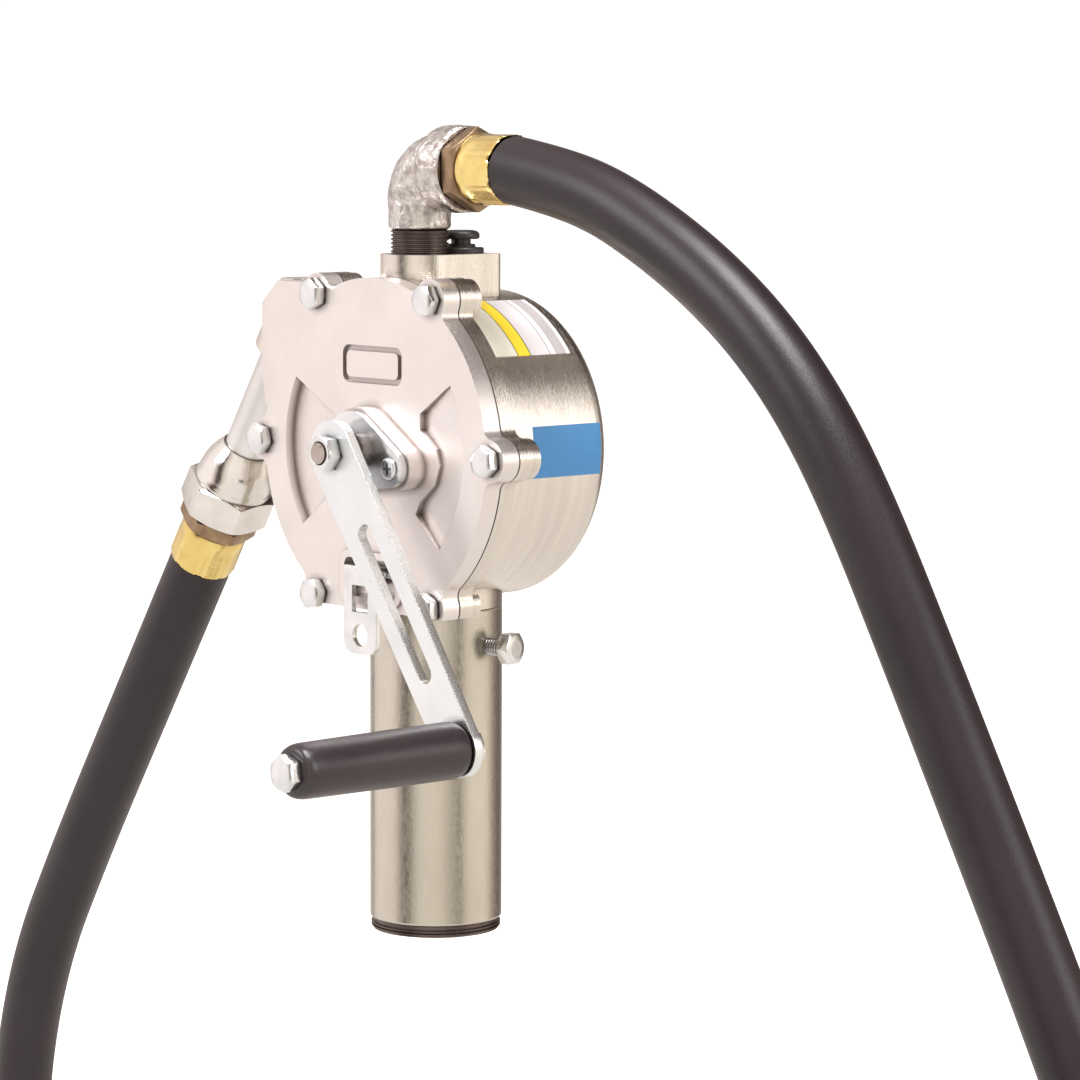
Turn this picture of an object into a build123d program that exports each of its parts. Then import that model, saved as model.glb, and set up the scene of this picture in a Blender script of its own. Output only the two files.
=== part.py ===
from build123d import *
import os
from math import atan2, cos, degrees, hypot, pi, radians, sin, tan

# Hand-cranked rotary vane pump for a drum, standing on its two-inch bung adapter.
# Millimetres. Origin: centre of the adapter's lower, threaded end. +Z up, the crank
# faces -Y, the outlet elbow faces +X and the spout is parked on the -X side.

# fits and clearances
running_gap = 0.05
slip_gap = 0.1
loose_gap = 0.3
thread_gap = 0.08
face_gap = 0.3

# bung adapter: a length of two-inch pipe with a thread at its foot
adapter_radius = 30.15
adapter_wall = 3.9
adapter_bore = adapter_radius - adapter_wall
adapter_height = 149.0
bung_thread_radius = adapter_radius - 0.95
bung_thread_length = 9.0
bung_relief_radius = adapter_radius - 1.95
bung_relief_length = 1.4

# set bolt through the adapter wall
set_bolt_height = adapter_height - 17.0
set_bolt_angle = 13.0
set_bolt_radius = 3.97
set_bolt_tip = adapter_bore - 2.25
set_bolt_head_start = adapter_radius + 8.35
set_bolt_head = 6.5
set_bolt_flats = 13.5
neck_groove_depth = 2.2
neck_groove_width = 9.0

# pump head, front to back along Y
drum_radius = 70.0
drum_wall = 6.0
eccentricity = 8.0
drum_clearance = 3.0
shaft_height = adapter_height + drum_clearance + drum_radius
cover_front = -38.0
cover_thickness = 9.2
gasket_thickness = 0.8
flange_thickness = 8.0
drum_back = 44.0
drum_edge_round = 9.0
rear_wall = 8.0
chamber_radius = drum_radius - drum_wall - eccentricity
rim_radius = drum_radius + 7.0
lug_round = 5.0
cover_back = cover_front + cover_thickness
seam = cover_back + gasket_thickness
flange_back = seam + flange_thickness
chamber_back = drum_back - rear_wall
chamber_x = -eccentricity
seat_height = adapter_height + face_gap

# cover bolts
bolt_circle = drum_radius + 9.0
bolt_count = 6
bolt_radius = 3.97
bolt_flats = 12.7
bolt_head = 5.6
bolt_length = 21.0
lug_radius = 9.6
lug_back = flange_back + 4.5
lug_web = 7.0
boss_radius = lug_radius - 0.5

# nozzle-holder ear on the upper left
ear_left = -drum_radius - 9.5
ear_low = shaft_height + drum_radius - 40.0
ear_shoulder = shaft_height + drum_radius - 7.0
ear_top = shaft_height + drum_radius + 3.5
ear_corner = ear_left + 11.5
ear_inner = ear_left + 29.5

# suction neck inside the adapter
neck_radius = adapter_bore - loose_gap
neck_foot = adapter_height - 30.0
suction_bore = 16.2
suction_depth = 24.0
suction_passage = 12.0
strainer_thickness = 1.5
strainer_seat = suction_bore + 0.6
strainer_hole = 1.3
strainer_pitch = 4.4

# outlet port block on top
port_y = -10.0
port_half_width = 17.8
port_back = 25.0
port_top = shaft_height + drum_radius + 17.0
port_foot = port_top - 39.0
port_bore = 13.3
port_depth = 15.0
port_passage = 10.5

# vacuum breaker behind the outlet
breaker_y = port_back - 10.5
breaker_thread = 6.0
breaker_thread_length = 11.0
breaker_flange = 10.5
breaker_flange_height = 2.5
breaker_neck = 6.6
breaker_neck_height = 4.0
breaker_spring_bore = 4.7
breaker_stem = 2.4
breaker_cap_radius = 8.5
breaker_cap_height = 4.0
breaker_travel = 2.0
breaker_stop_gap = 0.3
breaker_wire = 0.4

# street elbow
elbow_leg_radius = port_bore - slip_gap
elbow_body_radius = 15.6
elbow_collar_radius = 19.35
elbow_reach = 33.3
elbow_axis_height = port_top + 38.5
elbow_collar_length = 18.0
elbow_bore = 9.6
elbow_mouth_bore = 12.6
elbow_mouth_depth = 14.0
elbow_shoulder_height = port_top + 11.0

# hose, its ferrules and nipples
hose_radius = 15.1
hose_bore = 9.6
ferrule_radius = hose_radius + 0.65
ferrule_length = 21.4
nipple_tail = hose_bore
ferrule_bore = nipple_tail + 0.15
nipple_bore = 7.4
nipple_hex = 33.0
nipple_hex_length = 8.5
nipple_thread = elbow_mouth_bore - slip_gap
nipple_thread_length = 13.0

# spout end, measured along its own axis from the hose end
spout_lean = 32.5
hose_end_x = -drum_radius - 93.0
hose_end_z = shaft_height - 66.3
hose_last_run = 125.0
coupling_flats = 38.5
coupling_hex_length = 17.0
coupling_neck_radius = 19.0
coupling_length = 38.5
coupling_round = 6.0
spout_radius = 11.0
spout_wall = 1.4
spout_seat = 14.0
spout_length = 114.0
socket_radius = spout_radius + 4.4
socket_grip = 34.0
socket_floor = 9.0

# shaft and its bushes
shaft_radius = 7.94
bush_radius = 12.0
rear_bush_length = 11.0
shaft_back = chamber_back + rear_bush_length
rear_boss_radius = 18.0
rear_boss_depth = 7.0
front_bush_back = cover_back - 0.5
front_bush_length = 10.0
packing_length = 4.0

# gland on the cover
hub_front = cover_front - 9.0
gland_front = hub_front - 3.6
gland_big = 18.0
gland_small = 8.4
gland_screw_x = 27.0
gland_screw_z = -6.0
gland_screw_radius = 2.4
gland_screw_head = 5.0
gland_screw_length = 12.0

# rotor and vanes
rotor_gap = 0.15
rotor_end_gap = 0.4
vane_count = 4
vane_thickness = 6.0
vane_inner = 24.0
vane_slot_floor = 17.5
spring_coil_radius = 2.1
spring_wire = 0.4
spring_turns = 5
key_width = 4.76
key_length = 36.0
key_depth = 2.4
rotor_radius = chamber_radius - eccentricity - rotor_gap

# crank
arm_back = gland_front - 7.0
arm_thickness = 4.8
crank_length = 150.0
crank_lean = 35.0
arm_big = 14.5
arm_small = 12.5
arm_slot_start = 38.0
arm_slot_end = crank_length - 33.0
arm_slot_width = 8.7
spigot_radius = 6.2
spigot_half_flat = 4.7
shaft_thread = 4.76
shaft_nut_flats = 14.5
shaft_nut_length = 6.4
shaft_tip = 1.4
arm_front = arm_back - arm_thickness
crank_x = crank_length * sin(radians(crank_lean))
crank_z = shaft_height - crank_length * cos(radians(crank_lean))

# handle
handle_bolt_radius = 4.7
handle_bolt_flats = 14.0
handle_bolt_head = 6.0
handle_nut_length = 5.6
grip_radius = 12.5
grip_length = 90.6
grip_end_round = 4.0
grip_front = arm_front - face_gap - grip_length

# lock hasp
hasp_half_width = 11.5
hasp_thickness = 2.5
hasp_back = cover_front - 4.8
hasp_low = adapter_height - 19.0
hasp_hole_height = adapter_height - 10.5
hasp_hole_radius = 5.0
hasp_pin_y = cover_front + 0.8
hasp_pin_z = adapter_height + 17.0
hasp_pin_radius = 1.9
hasp_barrel = 3.7
hasp_window_half = 5.4
hasp_window_low = adapter_height
hasp_window_high = adapter_height + 12.0
pocket_half = 18.0
pocket_low = adapter_height + 6.0
pocket_high = adapter_height + 23.5
pocket_depth = 5.6
pocket_rim = 3.2
pocket_rim_height = 1.5

# cast relief on the cover
relief_depth = 4.6
relief_inner = 24.0
relief_outer = drum_radius - 8.0
relief_from = 151.0
relief_to = 217.0
brace_depth = 3.4
brace_outer = drum_radius - 8.0
badge_height = 38.0
badge_width = 41.0
badge_tall = 17.0
badge_depth = 1.8
badge_groove = 2.6
badge_corner = 4.0

# printed sticker on the drum
sticker_thickness = 0.3
sticker_from = 38.0
sticker_to = 70.0
sticker_front = -14.0
sticker_back = 32.0

# The hose's route from the outlet ferrule round the hanging loop to the spout's
# ferrule. The loop leans back, clear of the way down to the suction port.
hose_points = [
    (elbow_reach + nipple_hex_length + ferrule_length, port_y, elbow_axis_height),
    (93, port_y, elbow_axis_height), (131, port_y, 341), (167, -10, 326),
    (204, -10, 300), (243, -8, 258), (294, -3, 186), (350, 6, 86), (403, 20, -29),
    (432, 39, -180), (405, 60, -351), (316, 74, -499), (182, 78, -596), (28, 73, -632),
    (-120, 61, -606), (-240, 45, -528), (-316, 27, -415), (-343, 12, -288),
    (-331, 0, -168), (-295, -7, -64),
    (hose_end_x - hose_last_run * sin(radians(spout_lean)), port_y,
     hose_end_z - hose_last_run * cos(radians(spout_lean))),
    (hose_end_x, port_y, hose_end_z),
]


def rod_x(radius, low, high, y=0.0, z=0.0):
    body = Rot(0, 90, 0) * Cylinder(radius, high - low)
    return Pos((low + high) / 2, y, z) * body


def rod_y(radius, low, high, x=0.0, z=0.0):
    body = Rot(90, 0, 0) * Cylinder(radius, high - low)
    return Pos(x, (low + high) / 2, z) * body


def rod_z(radius, low, high, x=0.0, y=0.0):
    return Pos(x, y, (low + high) / 2) * Cylinder(radius, high - low)


def block(x_low, x_high, y_low, y_high, z_low, z_high):
    middle = Pos((x_low + x_high) / 2, (y_low + y_high) / 2, (z_low + z_high) / 2)
    return middle * Box(x_high - x_low, y_high - y_low, z_high - z_low)


def hex_y(flats, low, high, x, z):
    return plate(Pos(x, z) * hexagon(flats), low, high)


def hexagon(flats):
    return RegularPolygon(flats / 2, 6, major_radius=False)


def plate(sketch, front, back):
    """A sketch drawn with X across and Z up, made a plate from front to back along Y."""
    return extrude(Plane.XZ.offset(-back) * sketch, amount=back - front)


def bolt_places():
    places = []
    for index in range(bolt_count):
        angle = radians(360 / bolt_count * index)
        places.append((bolt_circle * cos(angle), shaft_height + bolt_circle * sin(angle)))
    return places


def at_spout(body, along):
    """Puts a body built up local +Z on the spout's axis, a distance from the hose end."""
    x = hose_end_x + along * sin(radians(spout_lean))
    z = hose_end_z + along * cos(radians(spout_lean))
    return Pos(x, port_y, z) * Rot(0, spout_lean, 0) * body


def at_outlet(body, along):
    """Puts a body built up local +Z on the outlet's axis, pointing back into the elbow."""
    return Pos(hose_points[0][0] - along, port_y, elbow_axis_height) * Rot(0, -90, 0) * body


def set_bolt_turned(body):
    return Rot(0, 0, set_bolt_angle) * body


def make_bung_adapter():
    relief_top = bung_thread_length + bung_relief_length
    body = rod_z(adapter_radius, relief_top, adapter_height)
    body += rod_z(bung_relief_radius, bung_thread_length - 1, relief_top + 1)
    body += rod_z(bung_thread_radius, 0, bung_thread_length)
    body -= rod_z(adapter_bore, -1, adapter_height + 1)
    hole = rod_x(set_bolt_radius + thread_gap, adapter_bore - 4, adapter_radius + 4, z=set_bolt_height)
    return body - set_bolt_turned(hole)


def make_adapter_set_bolt():
    body = rod_x(set_bolt_radius, set_bolt_tip, set_bolt_head_start + 1, z=set_bolt_height)
    head = extrude(Plane.YZ.offset(set_bolt_head_start) * hexagon(set_bolt_flats), amount=set_bolt_head)
    return set_bolt_turned(body + Pos(0, 0, set_bolt_height) * head)


def rim_outline():
    """Outline of the cover and of the flange behind it: disc, lugs, skirt and ear."""
    shape = Pos(0, shaft_height) * Circle(rim_radius)
    for x, z in bolt_places():
        shape += Pos(x, z) * Circle(lug_radius)
    shape = fillet(shape.vertices(), lug_round)
    low_bolt_x = bolt_places()[-1][0]
    skirt_high = shaft_height - rim_radius / 2
    skirt_mid = (seat_height + skirt_high) / 2
    shape += Pos(0, skirt_mid) * Rectangle(2 * low_bolt_x, skirt_high - seat_height)
    shape += make_face(Polyline(
        (ear_inner, ear_low - 14), (ear_left + 3, ear_low - 14), (ear_left, ear_low),
        (ear_left, ear_shoulder), (ear_corner, ear_top),
        (bolt_places()[2][0], ear_top - 0.5), (bolt_places()[2][0], bolt_places()[2][1] - 12), close=True))
    below = Pos(0, seat_height - 50) * Rectangle(400, 100)
    return shape - below


def make_front_cover():
    body = plate(rim_outline(), cover_front, cover_back)
    body += plate(gland_outline(gland_big + 1.4, gland_small + 1.4), hub_front, cover_front)
    rim_half = pocket_half + pocket_rim
    pocket_middle = (pocket_low + pocket_high) / 2
    rim = Pos(0, pocket_middle) * RectangleRounded(2 * rim_half, pocket_high - pocket_low + 2 * pocket_rim, 6)
    body += plate(rim, cover_front - pocket_rim_height, cover_front)
    body -= plate(Pos(0, pocket_middle) * RectangleRounded(2 * pocket_half, pocket_high - pocket_low, 3.5),
                  cover_front - 9, cover_front + pocket_depth)
    body -= rod_x(hasp_pin_radius + thread_gap, -rim_half - 1, rim_half + 1, y=hasp_pin_y, z=hasp_pin_z)
    body -= make_sector_relief()
    body -= make_brace_relief()
    badge = Pos(0, shaft_height + badge_height)
    groove = badge * RectangleRounded(badge_width, badge_tall, badge_corner)
    inner_width = badge_width - 2 * badge_groove
    groove -= badge * RectangleRounded(inner_width, badge_tall - 2 * badge_groove, badge_corner - badge_groove / 2)
    body -= plate(groove, cover_front - 1, cover_front + badge_depth)
    for x, z in bolt_places():
        body -= rod_y(bolt_radius + loose_gap, cover_front - 1, cover_back + 1, x, z)
    body -= rod_y(bush_radius, front_bush_back - front_bush_length, cover_back + 1, 0, shaft_height)
    body -= rod_y(shaft_radius + 2.6, front_bush_back - front_bush_length - packing_length,
                  cover_back, 0, shaft_height)
    body -= rod_y(shaft_radius + 0.5, hub_front - 1, cover_back, 0, shaft_height)
    for x, z in gland_screw_places():
        body -= rod_y(gland_screw_radius + thread_gap, hub_front - 1, gland_screw_tip() + 1, x, z)
    return body


def gland_screw_tip():
    return gland_front + 1 + gland_screw_length


def gland_screw_places():
    return [(gland_screw_x, shaft_height + gland_screw_z)]


def gland_outline(big, small):
    """Round about the shaft with one lobe towards the gland screw, joined by tangents."""
    reach = hypot(gland_screw_x, gland_screw_z)
    heading = degrees(atan2(gland_screw_z, gland_screw_x))
    half = degrees(atan2((reach**2 - (big - small)**2) ** 0.5, big - small))
    corners = []
    for angle, radius, offset_x in ((half, big, 0), (half, small, reach), (-half, small, reach), (-half, big, 0)):
        corners.append((offset_x + radius * cos(radians(angle)), radius * sin(radians(angle))))
    shape = make_face(Polyline(*corners, close=True)) + Circle(big) + Pos(reach, 0) * Circle(small)
    return Pos(0, shaft_height) * Rot(0, 0, heading) * shape


def make_sector_relief():
    """A sector sunk into the cover: deepest at its outer arc, level near the hub."""
    low = cover_front - 1
    slope = Polyline((relief_inner, low), (relief_outer, low),
                     (relief_outer, cover_front + relief_depth),
                     (relief_inner, cover_front), close=True)
    sweep = relief_to - relief_from
    wedge = revolve(make_face(slope), Axis.Y, sweep)
    middle = (relief_to + relief_from) / 2
    start = wedge.center()
    turn = middle - degrees(atan2(start.Z, start.X))
    return Pos(0, 0, shaft_height) * Rot(0, -turn, 0) * wedge


def make_brace_relief():
    """The brace-edged hollow on the right: deep along the brace, level at its outer arc."""
    brace = [(49, 29), (33, 18), (33, 11), (44, 3), (46.5, -4), (43, -13), (33, -21), (30, -27), (43, -39)]
    low_end = atan2(brace[-1][1], brace[-1][0])
    high_end = atan2(brace[0][1], brace[0][0])
    outer_low = (brace_outer * cos(low_end), brace_outer * sin(low_end))
    outer_high = (brace_outer * cos(high_end), brace_outer * sin(high_end))
    edge = Polyline(outer_high, *brace, outer_low)
    arc = ThreePointArc(outer_low, (brace_outer, 0), outer_high)
    area = Pos(0, shaft_height) * make_face([edge, arc])
    pocket = plate(area, cover_front - 1, cover_front + brace_depth)
    floor = Polyline((20, cover_front - 1), (brace_outer, cover_front - 1),
                     (brace_outer, cover_front), (28, cover_front + brace_depth), (20, cover_front + brace_depth),
                     close=True)
    wedge = extrude(make_face(floor), amount=70, both=True)
    return pocket & (Pos(0, 0, shaft_height) * wedge)


def make_cover_gasket():
    body = plate(rim_outline(), cover_back, seam)
    body -= rod_y(chamber_radius + 1, cover_back - 1, seam + 1, chamber_x, shaft_height)
    for x, z in bolt_places():
        body -= rod_y(bolt_radius + loose_gap, cover_back - 1, seam + 1, x, z)
    return body


def make_pump_housing():
    drum = rod_y(drum_radius, flange_back, drum_back, 0, shaft_height)
    drum = fillet(drum.edges().sort_by(Axis.Y)[-1], drum_edge_round)
    body = drum + plate(rim_outline(), seam, flange_back)
    for index, (x, z) in enumerate(bolt_places()):
        web = block(drum_radius - 4, bolt_circle, flange_back - 1, lug_back, -lug_web, lug_web)
        lug = rod_y(boss_radius, flange_back - 1, lug_back, x, z)
        lug += Pos(0, 0, shaft_height) * Rot(0, -360 / bolt_count * index, 0) * web
        body += lug - block(x - 20, x + 20, flange_back - 1, lug_back, seat_height - 20, seat_height)
    collar = rod_z(adapter_radius, seat_height, shaft_height - drum_radius / 2)
    body += collar - block(-100, 100, seam - 100, seam, 0, shaft_height)
    body += rod_z(neck_radius, neck_foot, seat_height)
    body += rod_y(rear_boss_radius, drum_back - 1, drum_back + rear_boss_depth, 0, shaft_height)
    body += make_port_block()
    body += make_spout_socket()
    body -= rod_y(chamber_radius, seam - 1, chamber_back, chamber_x, shaft_height)
    body -= rod_y(bush_radius, chamber_back - 1, chamber_back + rear_bush_length + 1, 0, shaft_height)
    body -= rod_z(suction_bore, neck_foot - 1, neck_foot + suction_depth)
    strainer_foot = neck_foot + suction_depth
    body -= rod_z(strainer_seat + slip_gap, strainer_foot, strainer_foot + strainer_thickness + slip_gap)
    body -= rod_z(suction_passage, neck_foot, shaft_height - chamber_radius + 10)
    groove = rod_z(neck_radius + 1, set_bolt_height - neck_groove_width / 2, set_bolt_height + neck_groove_width / 2)
    body -= groove - rod_z(neck_radius - neck_groove_depth, neck_foot, seat_height)
    body -= rod_z(port_bore, port_top - port_depth, port_top + 1, 0, port_y)
    body -= rod_z(port_passage, shaft_height + chamber_radius - 10, port_top, 0, port_y)
    body -= rod_z(breaker_thread + thread_gap, port_top - breaker_thread_length - 1, port_top + 1, 0, breaker_y)
    body -= rod_z(breaker_stem + 1.4, shaft_height + chamber_radius - 10, port_top, 0, breaker_y)
    body -= at_spout(Pos(0, 0, bore_middle()) * Cylinder(spout_radius + loose_gap, socket_grip + 20), 0)
    for x, z in bolt_places():
        body -= rod_y(bolt_radius + thread_gap, seam - 1, lug_back + 1, x, z)
    return body


def spout_end():
    return ferrule_length + nipple_hex_length + spout_seat + spout_length


def bore_middle():
    return spout_end() + slip_gap - (socket_grip + 20) / 2


def make_port_block():
    round_front = rod_z(port_half_width, port_foot, port_top, 0, port_y)
    square = block(-port_half_width, port_half_width, port_y, port_back, port_foot, port_top)
    upright = square.edges().filter_by(Axis.Z).group_by(Axis.Y)[-1]
    return round_front + fillet(upright, 4)


def make_spout_socket():
    """The cast cup behind the ear that holds the parked spout, open at its lower end."""
    middle = spout_end() + socket_floor - (socket_grip + socket_floor) / 2
    cup = at_spout(Pos(0, 0, middle) * Cylinder(socket_radius, socket_grip + socket_floor), 0)
    web = block(ear_left - 4, ear_inner + 14, flange_back - 1, port_y + 7, ear_low + 26, ear_top)
    web -= at_spout(Pos(0, 0, middle - socket_grip) * Cylinder(socket_radius, socket_grip + 12), 0)
    body = cup + web
    return body - block(-200, 0, -100, 100, ear_top, ear_top + 60)


def make_cover_bolts():
    bolts = []
    for index, (x, z) in enumerate(bolt_places()):
        bolt = rod_y(bolt_radius, cover_front - 1, cover_front + bolt_length, x, z)
        bolt += plate(Pos(x, z) * Rot(0, 0, 17 * index) * hexagon(bolt_flats), cover_front - bolt_head, cover_front)
        bolts.append(bolt)
    return Compound(children=bolts)


def make_bush(front, back):
    body = rod_y(bush_radius - slip_gap, front, back, 0, shaft_height)
    return body - rod_y(shaft_radius + running_gap, front - 1, back + 1, 0, shaft_height)


def make_shaft_packing():
    back = front_bush_back - front_bush_length - slip_gap
    front = back - packing_length + 2 * slip_gap
    body = rod_y(shaft_radius + 2.5, front, back, 0, shaft_height)
    return body - rod_y(shaft_radius + running_gap, front - 1, back + 1, 0, shaft_height)


def make_gland_plate():
    body = plate(gland_outline(gland_big, gland_small), gland_front, hub_front - slip_gap)
    body -= rod_y(shaft_radius + loose_gap, gland_front - 1, hub_front + 1, 0, shaft_height)
    for x, z in gland_screw_places():
        body -= rod_y(gland_screw_radius + thread_gap, gland_front - 1, hub_front + 1, x, z)
        body -= rod_y(gland_screw_head + slip_gap, gland_front - 1, gland_front + 1, x, z)
    return body


def make_gland_screw():
    (x, z), = gland_screw_places()
    body = rod_y(gland_screw_radius, gland_front + 1, gland_screw_tip(), x, z)
    head = rod_y(gland_screw_head, gland_front - 1.4, gland_front + 1, x, z)
    head = fillet(head.edges().sort_by(Axis.Y)[0], 1.2)
    slot = block(x - 2.8, x + 2.8, gland_front - 3, gland_front - 0.2, z - 0.6, z + 0.6)
    slot += block(x - 0.6, x + 0.6, gland_front - 3, gland_front - 0.2, z - 2.8, z + 2.8)
    return body + head - slot


def make_inlet_strainer():
    foot = neck_foot + suction_depth
    top = foot + strainer_thickness
    body = rod_z(strainer_seat, foot, top)
    steps = int(suction_bore / strainer_pitch)
    for column in range(-steps, steps + 1):
        for row in range(-steps, steps + 1):
            x = strainer_pitch * (column + 0.5 * (row % 2))
            y = strainer_pitch * row * 0.866
            if hypot(x, y) < suction_passage - strainer_hole:
                body -= rod_z(strainer_hole, foot - 1, top + 1, x, y)
    return body


def make_outlet_elbow():
    bend = elbow_axis_height - elbow_shoulder_height - 4
    body = rod_z(elbow_leg_radius, port_top - port_depth + 1, elbow_shoulder_height, 0, port_y)
    path = FilletPolyline((0, port_y, elbow_shoulder_height), (0, port_y, elbow_axis_height),
                          (elbow_reach - elbow_collar_length + 1, port_y, elbow_axis_height),
                          radius=min(bend, elbow_reach - elbow_collar_length - 0.5))
    body += sweep(Pos(0, port_y, elbow_shoulder_height) * Circle(elbow_body_radius - 1), path)
    body += Pos(0, port_y, elbow_axis_height) * Sphere(elbow_body_radius)
    body += rod_x(elbow_collar_radius, elbow_reach - elbow_collar_length, elbow_reach, port_y, elbow_axis_height)
    body -= rod_z(elbow_bore, port_top - port_depth, elbow_axis_height, 0, port_y)
    body -= Pos(0, port_y, elbow_axis_height) * Sphere(elbow_bore)
    body -= rod_x(elbow_bore, 0, elbow_reach, port_y, elbow_axis_height)
    mouth = elbow_reach - elbow_mouth_depth
    return body - rod_x(elbow_mouth_bore, mouth, elbow_reach + 1, port_y, elbow_axis_height)


def make_nipple(place):
    """Brass nipple, from its tail in the hose end, through its hexagon, to its thread."""
    hex_top = ferrule_length + nipple_hex_length
    body = Pos(0, 0, (1 + ferrule_length) / 2) * Cylinder(nipple_tail, ferrule_length - 1)
    body += extrude(Pos(0, 0, ferrule_length) * hexagon(nipple_hex), amount=nipple_hex_length)
    body += Pos(0, 0, hex_top + nipple_thread_length / 2) * Cylinder(nipple_thread, nipple_thread_length)
    body -= Pos(0, 0, hex_top / 2) * Cylinder(nipple_bore, 3 * hex_top)
    return place(body, 0)


def make_ferrule(place):
    body = Pos(0, 0, ferrule_length / 2) * Cylinder(ferrule_radius, ferrule_length)
    body = fillet(body.edges().sort_by(Axis.Z)[0], 0.8)
    return place(body - Pos(0, 0, ferrule_length / 2) * Cylinder(ferrule_bore, ferrule_length + 2), 0)


def make_spout_coupling():
    start = ferrule_length + nipple_hex_length
    body = extrude(hexagon(coupling_flats), amount=coupling_hex_length)
    neck_length = coupling_length - coupling_hex_length
    neck = Pos(0, 0, coupling_hex_length + neck_length / 2) * Cylinder(coupling_neck_radius, neck_length)
    body += fillet(neck.edges().sort_by(Axis.Z)[-1], coupling_round)
    body -= Pos(0, 0, nipple_thread_length / 2) * Cylinder(nipple_thread + thread_gap, nipple_thread_length + 1)
    body -= Pos(0, 0, coupling_length) * Cylinder(spout_radius + thread_gap, 2 * (coupling_length - spout_seat))
    body -= Pos(0, 0, coupling_length / 2) * Cylinder(nipple_bore, coupling_length)
    return at_spout(body, start)


def make_spout_tube():
    start = ferrule_length + nipple_hex_length + spout_seat
    body = Pos(0, 0, spout_length / 2) * Cylinder(spout_radius, spout_length)
    body -= Pos(0, 0, spout_length / 2) * Cylinder(spout_radius - spout_wall, spout_length + 2)
    return at_spout(body, start)


def make_hose():
    points = [Vector(*point) for point in hose_points]
    radii = []
    for before, here, after in zip(points, points[1:], points[2:]):
        turn = radians((here - before).get_angle(after - here))
        shorter = min((here - before).length, (after - here).length)
        radii.append(0.45 * shorter / tan(turn / 2))
    path = FilletPolyline(*points, radius=radii)
    end = Plane(origin=points[0], z_dir=points[1] - points[0])
    body = sweep(end * Circle(hose_radius), path) - sweep(end * Circle(hose_bore), path)
    section = pi * (hose_radius**2 - hose_bore**2)
    print("hose radii", [round(radius) for radius in radii])
    print("hose length", round(path.length, 1), "volume", round(body.volume), "section x length",
          round(section * path.length))
    return body


def make_breaker_base():
    flange_top = port_top + breaker_flange_height
    body = rod_z(breaker_flange, port_top, flange_top, 0, breaker_y)
    body = fillet(body.edges().sort_by(Axis.Z)[-1], 0.8)
    body += rod_z(breaker_neck, flange_top - 1, port_top + breaker_neck_height, 0, breaker_y)
    body += rod_z(breaker_thread, port_top - breaker_thread_length, port_top + 1, 0, breaker_y)
    body -= rod_z(breaker_spring_bore, breaker_spring_foot(), port_top + 20, 0, breaker_y)
    return body - rod_z(breaker_stem + slip_gap, port_top - 20, port_top + 20, 0, breaker_y)


def breaker_spring_foot():
    return port_top - 6


def breaker_cap_foot():
    return port_top + breaker_neck_height + breaker_travel + breaker_stop_gap


def make_breaker_cap():
    foot = breaker_cap_foot()
    body = rod_z(breaker_cap_radius, foot, foot + breaker_cap_height, 0, breaker_y)
    body = fillet(body.edges().sort_by(Axis.Z)[-1], 2.6)
    return body + rod_z(breaker_stem, port_top - 9, foot + 1, 0, breaker_y)


def make_spring(radius, wire, low, high, turns):
    """A closed-coil look compression spring standing on the origin's Z axis."""
    height = high - low - 2 * wire - 0.1
    line = Helix(height / turns, height, radius)
    profile = Plane(origin=line @ 0, z_dir=line % 0) * Circle(wire)
    return Pos(0, 0, low + wire + 0.05) * sweep(profile, line)


def make_breaker_spring():
    coil = make_spring(3.6, breaker_wire, breaker_spring_foot(), breaker_cap_foot(), 5)
    return Pos(0, breaker_y, 0) * coil


def make_hasp_pin():
    half = pocket_half + pocket_rim
    return rod_x(hasp_pin_radius, -half, half, hasp_pin_y, hasp_pin_z)


def make_lock_hasp():
    front = hasp_back - hasp_thickness
    barrel_half = hasp_half_width
    body = rod_x(hasp_barrel, -barrel_half, barrel_half, hasp_pin_y, hasp_pin_z)
    top = hasp_pin_z + hasp_barrel
    body += block(-barrel_half, barrel_half, front, hasp_pin_y, top - hasp_thickness, top)
    tab = block(-hasp_half_width, hasp_half_width, front, hasp_back, hasp_low, top)
    tab -= block(-hasp_window_half, hasp_window_half, front - 1, hasp_back + 1, hasp_window_low, hasp_window_high)
    tab = fillet(tab.edges().filter_by(Axis.Y).group_by(Axis.Z)[0], 6)
    body += tab
    body = fillet(body.edges().filter_by(Axis.X).sort_by(Axis.Z)[-1], 1.2)
    body -= rod_x(hasp_pin_radius + running_gap, -30, 30, hasp_pin_y, hasp_pin_z)
    return body - rod_y(hasp_hole_radius, front - 1, hasp_back + 1, 0, hasp_hole_height)


def make_shaft():
    body = rod_y(shaft_radius, arm_back, shaft_back, 0, shaft_height)
    flats = block(-spigot_radius, spigot_radius, arm_front, arm_back + 1,
                  shaft_height - spigot_half_flat, shaft_height + spigot_half_flat)
    body += rod_y(spigot_radius, arm_front, arm_back + 1, 0, shaft_height) & flats
    body += rod_y(shaft_thread, arm_front - shaft_nut_length - shaft_tip, arm_front + 1, 0, shaft_height)
    tip = body.edges().sort_by(Axis.Y)[0]
    body = chamfer(tip, 0.8)
    seat = block(-key_width / 2 - thread_gap, key_width / 2 + thread_gap, -key_length / 2 - thread_gap,
                 key_length / 2 + thread_gap, shaft_height + shaft_radius - key_depth, shaft_height + 20)
    return body - seat


def make_rotor_key():
    low = shaft_height + shaft_radius - key_depth + thread_gap
    return block(-key_width / 2, key_width / 2, -key_length / 2, key_length / 2, low, low + 2 * key_depth - thread_gap)


def rotor_front():
    return cover_back + rotor_end_gap


def rotor_back():
    return chamber_back - rotor_end_gap


def around_shaft(body, index):
    """Turns a body built on +X about the shaft to the place of one vane."""
    return Pos(0, 0, shaft_height) * Rot(0, -45 - 360 / vane_count * index, 0) * body


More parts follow.
